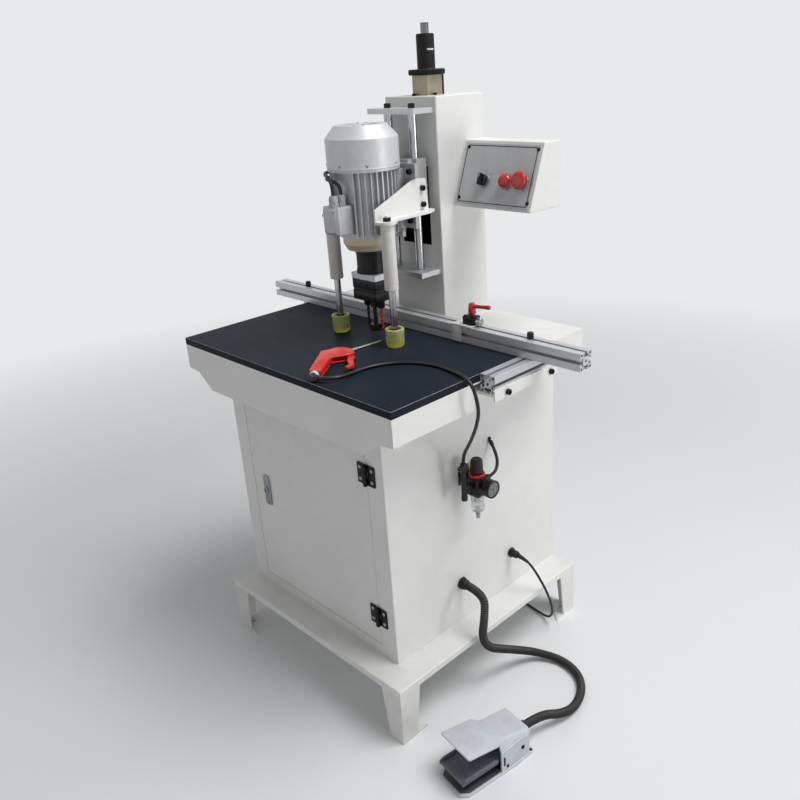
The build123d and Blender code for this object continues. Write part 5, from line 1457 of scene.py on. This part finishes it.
@dataclass
class FootSwitch:
    """Cast foot switch with guard, on the floor at the right."""

    shop: Workshop
    at: tuple[float, float] = (510.0, -248.0)
    turn: float = -9.0
    roof_at: tuple[float, float] = (8.0, 91.0)
    roof_fall: float = 0.1628
    pivot: tuple[float, float] = (72.0, 37.0)

    def home(self) -> Place:
        """Frame of the foot switch on the floor."""
        return upright(*self.at).spun(self.turn)

    def flank(self) -> Place:
        """Frame that looks out of the right flank: local x to the rear, local y up."""
        home = self.home()
        return Place(home.origin, home.y, home.z, home.x)

    def build(self) -> None:
        """Make base, case, guard, treadle and connector."""
        self.base_and_guard()
        self.case()
        self.small_parts()
        self.treadle()

    def mirrored(self, half: list[tuple[float, float]], reach: float) -> Array:
        """Outline from its right half, eased."""
        return rounded(half + [(-x, y) for x, y in half[::-1]], reach)

    def base_and_guard(self) -> None:
        """Pointed floor plate, the guard that carries the roof's slope on over the treadle, and a dark sheet
        on the plate as painted shade under the guard.
        """
        home = self.home()
        c, s = np.array([1.0, self.roof_fall]) / math.hypot(1.0, self.roof_fall)
        back, up = np.array(home.y), np.array(home.z)
        roof = Place(home.at(0, *self.roof_at).origin, home.x, tuple(c * back - s * up),
                     tuple(c * up + s * back))
        skin = Skin().add(slab(self.mirrored([(35, -103), (48, -85), (48, 50), (43, 107)], 5), 6, 1.2), home)
        guard = self.mirrored([(50, -93), (50, -9), (36, 5), (36, 18)], 5)
        skin.add(slab(guard, 4, 1.3), roof.at(0, 0, -4))
        skin.add(post(3, -41, 41, 0.4, 24), self.flank().at(*self.pivot, 0))
        self.shop.piece("pedal_base_and_guard", skin, PEDAL, "machine", "pedal_housing")
        # Dark sheet under the guard: painted shade on the base plate.
        shade_sheet = slab(self.mirrored([(31, -97), (43, -81), (43, 6)], 4), 1.6, 0.5)
        self.shop.piece("pedal_base_painted_shade", Skin().add(shade_sheet, home.at(0, 0, 5.4)), BASE_SHADE, "machine")

    def ring(self, y: float, widths: Array, levels: Array) -> Array:
        """Six-cornered section of the case at one depth, with eased corners.

        Args:
            y: Depth.
            widths: Half widths at the three levels.
            levels: The three levels.

        Returns:
            Points of the section.
        """
        line = self.mirrored(list(zip(widths, levels)), 4)
        return np.column_stack([line[:, 0], np.full(len(line), y), line[:, 1]])

    def case(self) -> None:
        """Hipped case, open to the front: one shell of inner and outer sections, and a bead on each hip."""
        home = self.home()
        spans = {"inner": ((8, 90), ((42, 42, 32), (6, 58, 87)), ((38, 40, 34), (6, 65, 73))),
                 "outer": ((8, 92.5), ((46, 46, 36), (0.5, 60, 91)), ((42, 44, 38), (0.5, 67, 77)))}
        rows: dict[str, list[Array]] = {}
        for name, (depth, front, rear) in spans.items():
            near, far = np.array(front, float), np.array(rear, float)
            rows[name] = [self.ring(depth[0] + s * (depth[1] - depth[0]), *(near + s * (far - near)))
                          for s in np.linspace(0, 1, 7)]
        end = [self.ring(94, np.array([40.5, 42.5, 36.5]), np.array([2.0, 65.5, 75.5]))]
        skin = Skin().add(np.stack(rows["inner"][::-1] + rows["outer"] + end), home)
        t = np.linspace(0, 1, 12)[:, None]
        for side in (-1, 1):
            hip = np.array([side * 46.0, 10, 60]) * (1 - t) + np.array([side * 44.0, 92, 67]) * t
            skin.add(carried(polar(1.6, 16), hip, (0, 0, 1)), home)
        self.shop.piece("pedal_case", skin, PEDAL, "machine")

    def small_parts(self) -> None:
        """Connector of the conduit, dark screws and the return spring's lug on the right flank."""
        home, flank = self.home(), self.flank()
        stub = Place(home.at(8, 93, 48).origin, home.x, tuple(-np.array(home.z)), home.y)
        nut = [(13, 0), (14, 1), (14, 8), (13, 9), (12.6, 10), (13.4, 11), (13, 17), (12, 19), (10.6, 19)]
        skin = Skin().add(turned(nut, 48, on_rows([1, 2], len(nut), many_sided(6, 48))), stub)
        self.shop.piece("pedal_connector", skin, BLACK_PLASTIC, "machine")
        dark = Skin().add(dome_screw(11, 2.4), flank.at(*self.pivot, 43.6))
        dark.add(dome_screw(8, 2.2), flank.at(26, 14, 45.2))
        dark.add(slab(rounded([(14, 20), (19, 20), (19, 44), (14, 44)], 2), 1.4, 0.5), flank.at(0, 0, 45.2))
        for x in (-38, 38):
            dark.add(dome_screw(8, 2.2), home.at(x, 100.5, 5.8))
        self.shop.piece("pedal_screws", dark, BLACK_STEEL, "machine")

    def treadle(self) -> None:
        """Treadle tray with turned-up sides, grip bars and the pivot tube."""
        home, flank = self.home(), self.flank()
        skin = Skin().add(slab(self.mirrored([(41, -97), (41, 4), (36, 8), (36, 72)], 3), 4, 0.9),
                          home.at(0, 0, 34))
        lip = rounded([(-97, 31), (4, 31), (4, 40), (-6, 46), (-88, 46), (-97, 41)], 3)
        for x in (-41, 38):
            skin.add(slab(lip, 3, 0.9), flank.at(0, 0, x))
        for y in range(-86, -5, 9):
            skin.add(slab(oblong(35, 2, 1.2), 1.8, 0.6), home.at(0, y, 37.7))
        tube = [(3.1, -36), (6.4, -36), (7, -35), (7, 35), (6.4, 36), (3.1, 36)]
        skin.add(turned(tube, 36), flank.at(*self.pivot, 0), loop=True)
        self.shop.piece("treadle_tray", skin, TREADLE, "treadle", "pedal_treadle")


@dataclass
class Cords:
    """Air hose, air tube, motor leads, ribbed conduit and the power cable with its coil."""

    shop: Workshop
    air_hose: Array = field(default_factory=lambda: np.array([
        (142.2, -320.5, 860), (174.17, -301.85, 860), (166, -250, 854.2), (165, -196, 854.2),
        (200, -138, 854.2), (262, -106, 854.2), (325, -110, 854.2), (398, -131, 857), (412, -124, 798),
        (395, -112, 751), (360, -97, 693), (313, -72.5, 638), (312, -72, 616)], float))
    air_tube: Array = field(default_factory=lambda: np.array([
        (312, 14, 547), (312, 36, 547), (304, 56, 562), (291, 66, 580), (277, 69, 597)], float))
    lead_front: Array = field(default_factory=lambda: np.array([
        (8, -129, 1196), (8, -129, 1218), (-6, -126, 1232), (-34, -113, 1236), (-62, -90, 1236),
        (-80, -60, 1235), (-87, -28, 1234), (-84, 2, 1233), (-74, 28, 1232), (-74, 52, 1232)], float))
    lead_rear: Array = field(default_factory=lambda: np.array([
        (8, -107, 1196), (8, -107, 1212), (-5, -111, 1222), (-32, -110, 1225), (-60, -89, 1224),
        (-78, -60, 1223), (-86, -28, 1222), (-83, 2, 1221), (-74, 26, 1219), (-74, 52, 1219)], float))
    conduit: Array = field(default_factory=lambda: np.array([
        (284, -45, 259), (340, -45, 259), (360, -70, 218), (360, -82, 165), (357, -55, 116), (358, -6, 82),
        (365, 46, 50), (384, 98, 21), (440, 128, 11), (505, 114, 11), (548, 70, 11), (566, 12, 11),
        (562, -38, 24), (543.24, -89.25, 48), (535.42, -138.63, 48)], float))
    cable: Array = field(default_factory=lambda: np.array([
        (290, 145, 252), (320, 145, 249), (338, 153, 223), (347, 167, 188), (352, 186, 145), (354, 205, 95),
        (345, 222, 48), (316, 240, 12), (264, 252, 4.6), (202, 262, 4.6), (140, 266, 4.6), (80, 264, 4.6),
        (12.389, 264.261, 4.6)], float))
    cable_width: float = 6.4
    coil_at: tuple[float, float] = (-60.0, 196.0)
    coil_radius: float = 67.0
    coil_turns: int = 3
    coil_pitch: float = 7.2
    coil_low: float = 4.6
    per_turn: int = 16
    tail: Point = (-18.006, 128.269, 11.8)

    def build(self) -> None:
        """Make every cord and the pieces on it."""
        self.soft("air_hose_line", self.air_hose, 8, HOSE_SKIN, "machine", "air_hose")
        self.soft("air_tube_line", self.air_tube, 8, HOSE_SKIN, "machine", "air_tube")
        self.soft("motor_lead_front", self.lead_front, 8, RUBBER, "head", "motor_leads")
        self.soft("motor_lead_rear", self.lead_rear, 8, RUBBER, "head", "motor_leads")
        self.ribbed_conduit()
        self.power_cable()
        self.glands()

    def soft(self, name: str, route: Array, width: float, finish: Finish, body: str, node: str) -> None:
        """Plain round cord between two places of the machine.

        Args:
            name: Name of the cord.
            route: Control points.
            width: Diameter.
            finish: Its finish.
            body: The body that carries it.
            node: Node of the frame that it replaces.
        """
        cord = curve_of(name, route, width)
        self.shop.place(cord, finish, body, (node,))
        length_of(line_of(route))

    def ribbed_conduit(self) -> None:
        """Corrugated conduit: a circle carried along the route's spline, its radius a rounded square wave."""
        line = spaced(line_of(self.conduit), 0.62)
        run = np.linspace(0, length_of(line) / MM, len(line))
        wave = np.tanh(2.2 * np.cos(TURN * run / 5.0)) / math.tanh(2.2)
        ends = np.clip(np.minimum(run, run[-1] - run) / 6.0, 0, 1)
        radius = 9.0 + (0.75 * wave + 0.75) * ends
        skin = Skin().add(carried(polar(1.0, 28), line, (1, 0, 1), radius))
        piece = self.shop.piece("conduit_ribbed", skin, CONDUIT_SKIN, "machine", "conduit", sharp=60)

    def coil_points(self) -> Array:
        """Turns inwards on the floor, a half-turn climb and the same turns outwards on top.

        At t turns the radius is R - p t going in and R - p (2 n + 0.5 - t) going out; the climb between
        them rises by 3 s^2 - 2 s^3 over s from 0 to 1.

        Returns:
            Control points of the coil.
        """
        n, p = self.coil_turns, self.coil_pitch
        t = np.linspace(0, 2 * n + 0.5, round((2 * n + 0.5) * self.per_turn) + 1)
        s = np.clip((t - n) * 2, 0, 1)
        inward, outer = self.coil_radius - p * t, self.coil_radius - p * (2 * n + 0.5 - t)
        middle = self.coil_radius - p * n - 0.5 * p * s * (1 - s)
        radius = np.where(t < n, inward, np.where(t < n + 0.5, middle, outer))
        angle = math.pi / 2 + TURN * t
        x = self.coil_at[0] + radius * np.cos(angle)
        y = self.coil_at[1] + radius * np.sin(angle)
        return np.column_stack([x, y, self.coil_low + p * (3 * s**2 - 2 * s**3)])

    def power_cable(self) -> None:
        """Power cable from its gland to the floor and into a tied coil, with a plain two-pin plug."""
        route = np.vstack([self.cable, self.coil_points(), [self.tail]])
        cable = curve_of("power_cable_line", route, self.cable_width)
        self.shop.place(cable, RUBBER, "machine", ("power_cable", "cable_coil"))
        line = line_of(route)
        boot = spaced(line, 1.0, 0.0, 34.0)
        run = np.linspace(0, 34, len(boot))
        radius = 6.4 - 2.6 * run / 34 - 0.4 * (0.5 + 0.5 * np.cos(TURN * run / 4.25))
        skin = Skin().add(carried(polar(1.0, 28), boot, (0.2, 1, 0.1), radius))
        self.shop.piece("cable_strain_relief", skin, BLACK_PLASTIC, "machine", sharp=60)
        pieces = [self.tie(), self.plug()]

    def tie(self) -> bpy.types.Object:
        """Flat strap round all turns of the coil: a thin section carried round an eased oblong."""
        x, y = self.coil_at
        left, right, high = x - 72.8, x - 37.6, self.coil_low + self.coil_pitch + 5.8
        loop = rounded([(left, 0.4), (right, 0.4), (right, high), (left, high)], 5, 6)
        normal = outward(loop)
        rows = []
        for shift, half in ((0.0, 7.5), (0.0, -7.5), (1.2, -7.5), (1.2, 7.5)):
            ring = loop - shift * normal
            rows.append(np.column_stack([ring[:, 0], np.full(len(ring), y + half), ring[:, 1]]))
        skin = Skin().add(np.stack(rows), loop=True)
        return self.shop.piece("coil_tie_strap", skin, BLACK_PLASTIC, "machine")

    def plug(self) -> bpy.types.Object:
        """Flat moulded plug with a ribbed neck, a waist to grip and two round pins."""
        way = np.subtract(self.tail, self.coil_points()[-1])
        dx, dy = way[:2] / np.linalg.norm(way)
        at = Place(self.tail, (0, 0, 1), (dy, -dx, 0), (dx, dy, 0))
        neck = [(4, 0), (6, 0.6), (5.6, 3), (6.6, 4), (6.2, 7), (7.2, 8), (6.8, 11), (7.8, 12), (7.8, 13.6)]
        skin = Skin().add(turned(neck, 48), at)
        shell = oblong(10, 17, 8, 6)
        steps = ((12, 0.62), (14, 0.86), (18, 0.97), (22, 1.0), (28, 0.93), (40, 0.93), (46, 1.0),
                 (50.5, 1.0), (52, 0.94))
        rows = [np.column_stack([shell * size, np.full(len(shell), height)]) for height, size in steps]
        skin.add(np.stack(rows), at)
        for side in (-9.5, 9.5):
            skin.add(turned([(2.4, 50), (2.4, 69), (1.9, 70.6), (0.8, 71)], 24), at.at(0, side, 0))
        return self.shop.piece("plug_moulded", skin, BLACK_PLASTIC, "machine", "plug")

    def glands(self) -> None:
        """Two wall glands: lock nut, body nut and a domed clamp ring with grip hollows."""
        skin = Skin()
        for y, z, end, outer, wide in ((-45, 259, 19, 13, 16), (145, 252, 25, 10, 13)):
            at = rightward(265, y, z)
            rows = [(outer - 5, -12), (outer - 5, 0), (wide, 0), (wide, 7), (outer - 1, 8), (outer - 1, 9),
                    (outer, 10), (outer, end - 4), (outer - 1.6, end - 1), (outer - 3, end)]
            shape = on_rows([2, 3], 10, many_sided(6, 72)) * on_rows([6, 7], 10, grips(18, 0.06, 72))
            skin.add(turned(rows, 72, shape), at)
        self.shop.piece("wall_glands", skin, BLACK_PLASTIC, "machine", "cable_glands")


@dataclass
class Fasteners:
    """Cap screws of the panel, rod plates, rail and table."""

    shop: Workshop
    panel: Place = ControlStation.panel
    panel_spots: tuple = ((16.5, 21.0), (220.0, 21.0), (16.5, 139.5), (220.0, 139.5))
    head_spots: tuple = ((-14.0, 156.0), (32.0, 181.0), (14.0, 220.0), (-32.0, 195.0))

    def build(self) -> None:
        """Make all screws as one piece."""
        skin = Skin()
        for u, v in self.panel_spots:
            skin.add(dome_screw(9, 3), self.panel.at(u, v, 2))
        for x in (-40, 40):
            skin.add(cap_screw(16, 10), upright(x, 93, 1362))
            skin.add(cap_screw(16, 10), facing((x, 93, 978), (0, 0, -1)))
        for x, y in self.head_spots:
            skin.add(cap_screw(9, 5), upright(x, y, 1384))
        for y in (-44, 105):
            skin.add(cap_screw(13, 8), facing((421, y, 809), (1, 0, 0)))
        for x in (-345, 345):
            skin.add(dome_screw(9, 1.5), upright(x, -305, 850))
        self.shop.piece("machine_cap_screws", skin, BLACK_STEEL, "machine", "machine_screws")


@dataclass
class Studio:
    """Pale floor, soft lamps and the camera."""

    eye: Point = (1432.74, -1257.61, 1458.87)
    yaw: float = 45.59
    pitch: float = -21.99
    roll: float = 3.16
    lens: float = 36.56
    shift: tuple[float, float] = (-0.0390, -0.0138)
    floor_radius: float = 14.0
    backdrop: Tone = (0.93, 0.935, 0.94)
    glow: float = 0.95

    def build(self) -> None:
        """Set floor, world, lamps, camera and view."""
        bpy.context.scene.view_settings.view_transform = "Standard"
        self.floor()
        self.world()
        self.lamp("key_softbox", (1.8, 0.9, 4.4), 2.4, 147)
        self.lamp("front_fill", (-1.6, -3.4, 2.4), 2.6, 5)
        self.lamp("side_fill", (4.2, 1.7, 0.75), 1.2, 33)
        self.camera()

    @staticmethod
    def seen(wire: Wiring) -> bpy.types.NodeSocket:
        """Mask that is 1 where the surroundings are looked at, straight, in a mirror or through glass."""
        path = wire.add("ShaderNodeLightPath").outputs
        through = wire.math("ADD", path["Is Glossy Ray"], path["Is Transmission Ray"])
        return wire.math("ADD", path["Is Camera Ray"], through)

    def floor(self) -> None:
        """Flat round floor that passes into the surroundings far from the machine."""
        rings = np.array([0.01, 1.5, 4.0, self.floor_radius])[:, None] / MM
        angles = ring_angles(64)
        flat = np.stack([rings * np.cos(angles), rings * np.sin(angles), np.full((4, 64), -0.15)], -1)
        mesh = Skin().add(flat, caps=False).mesh("studio_floor")
        floor = bpy.data.objects.new("studio_floor", mesh)
        made = bpy.data.materials.new("studio_floor_paint")
        wire = emptied(made)
        spot = wire.add("ShaderNodeTexCoord").outputs["Object"]
        cloud = wire.noise(spot, 1.2, 5.0)
        tint = wire.tint(cloud, linear((0.90, 0.905, 0.91)), linear((0.92, 0.925, 0.93)))
        paint = wire.add("ShaderNodeBsdfPrincipled", {"Base Color": tint, "Roughness": 0.6})
        away = wire.add("ShaderNodeVectorMath", {0: spot}, operation="LENGTH").outputs["Value"]
        far = wire.math("MULTIPLY", wire.stretch(away, 1.5, 3.4), self.seen(wire))
        light = wire.add("ShaderNodeEmission", {"Color": linear(self.backdrop), "Strength": self.glow})
        both = wire.add("ShaderNodeMixShader", {0: far, 1: paint.outputs[0], 2: light.outputs[0]})
        wire.add("ShaderNodeOutputMaterial", {"Surface": both.outputs[0]})
        mesh.materials.append(made)
        bpy.context.scene.collection.objects.link(floor)

    def world(self) -> None:
        """Even pale surroundings, brighter to the camera than to the lit object."""
        world = bpy.data.worlds.new("studio_surroundings")
        wire = emptied(world)
        strength = wire.level(self.seen(wire), 0.30, self.glow)
        light = wire.add("ShaderNodeBackground", {"Color": linear(self.backdrop), "Strength": strength})
        wire.add("ShaderNodeOutputWorld", {"Surface": light.outputs[0]})
        bpy.context.scene.world = world

    def lamp(self, name: str, place: Point, size: float, power: float) -> None:
        """Square area lamp that looks at the machine's middle.

        Args:
            name: Name of the lamp.
            place: Where it stands, in metres.
            size: Side of its square, in metres.
            power: Its power in watts.
        """
        light = bpy.data.lights.new(name, "AREA")
        light.shape = "SQUARE"
        light.size = size
        light.energy = power
        lamp = bpy.data.objects.new(name, light)
        way = Vector((0.0, 0.0, 0.75)) - Vector(place)
        lamp.matrix_world = Matrix.Translation(place) @ way.to_track_quat("-Z", "Y").to_matrix().to_4x4()
        bpy.context.scene.collection.objects.link(lamp)

    def camera(self) -> None:
        """Camera of the photograph: yaw, pitch and roll about its own axis, with the frame's shift."""
        yaw, pitch, roll = (math.radians(v) for v in (self.yaw, self.pitch, self.roll))
        look = Vector((-math.sin(yaw) * math.cos(pitch), math.cos(yaw) * math.cos(pitch), math.sin(pitch)))
        right = look.cross(Vector((0, 0, 1))).normalized()
        down = look.cross(right)
        side = math.cos(roll) * right + math.sin(roll) * down
        below = math.cos(roll) * down - math.sin(roll) * right
        data = bpy.data.cameras.new("photo_camera")
        data.lens, data.sensor_width = self.lens, 36.0
        data.shift_x, data.shift_y = self.shift
        data.clip_end = 60.0
        camera = bpy.data.objects.new("photo_camera", data)
        axes = Matrix((side, -below, -look)).transposed().to_4x4()
        camera.matrix_world = Matrix.Translation(Vector(self.eye) * MM) @ axes
        bpy.context.scene.collection.objects.link(camera)
        bpy.context.scene.camera = camera


def main() -> None:
    """Load the frame and build every assembly around it."""
    logging.basicConfig(level=logging.INFO, format="%(name)s: %(message)s")
    shop = Workshop(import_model())
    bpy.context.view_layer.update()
    Studio().build()
    for assembly in (Cords, BaseAndCabinet, TableAndFence, ColumnAndFeed, BoringHead, ControlStation, AirUnit,
                     BlowGun, FootSwitch, Fasteners):
        assembly(shop).build()


if __name__ == "__main__":
    main()
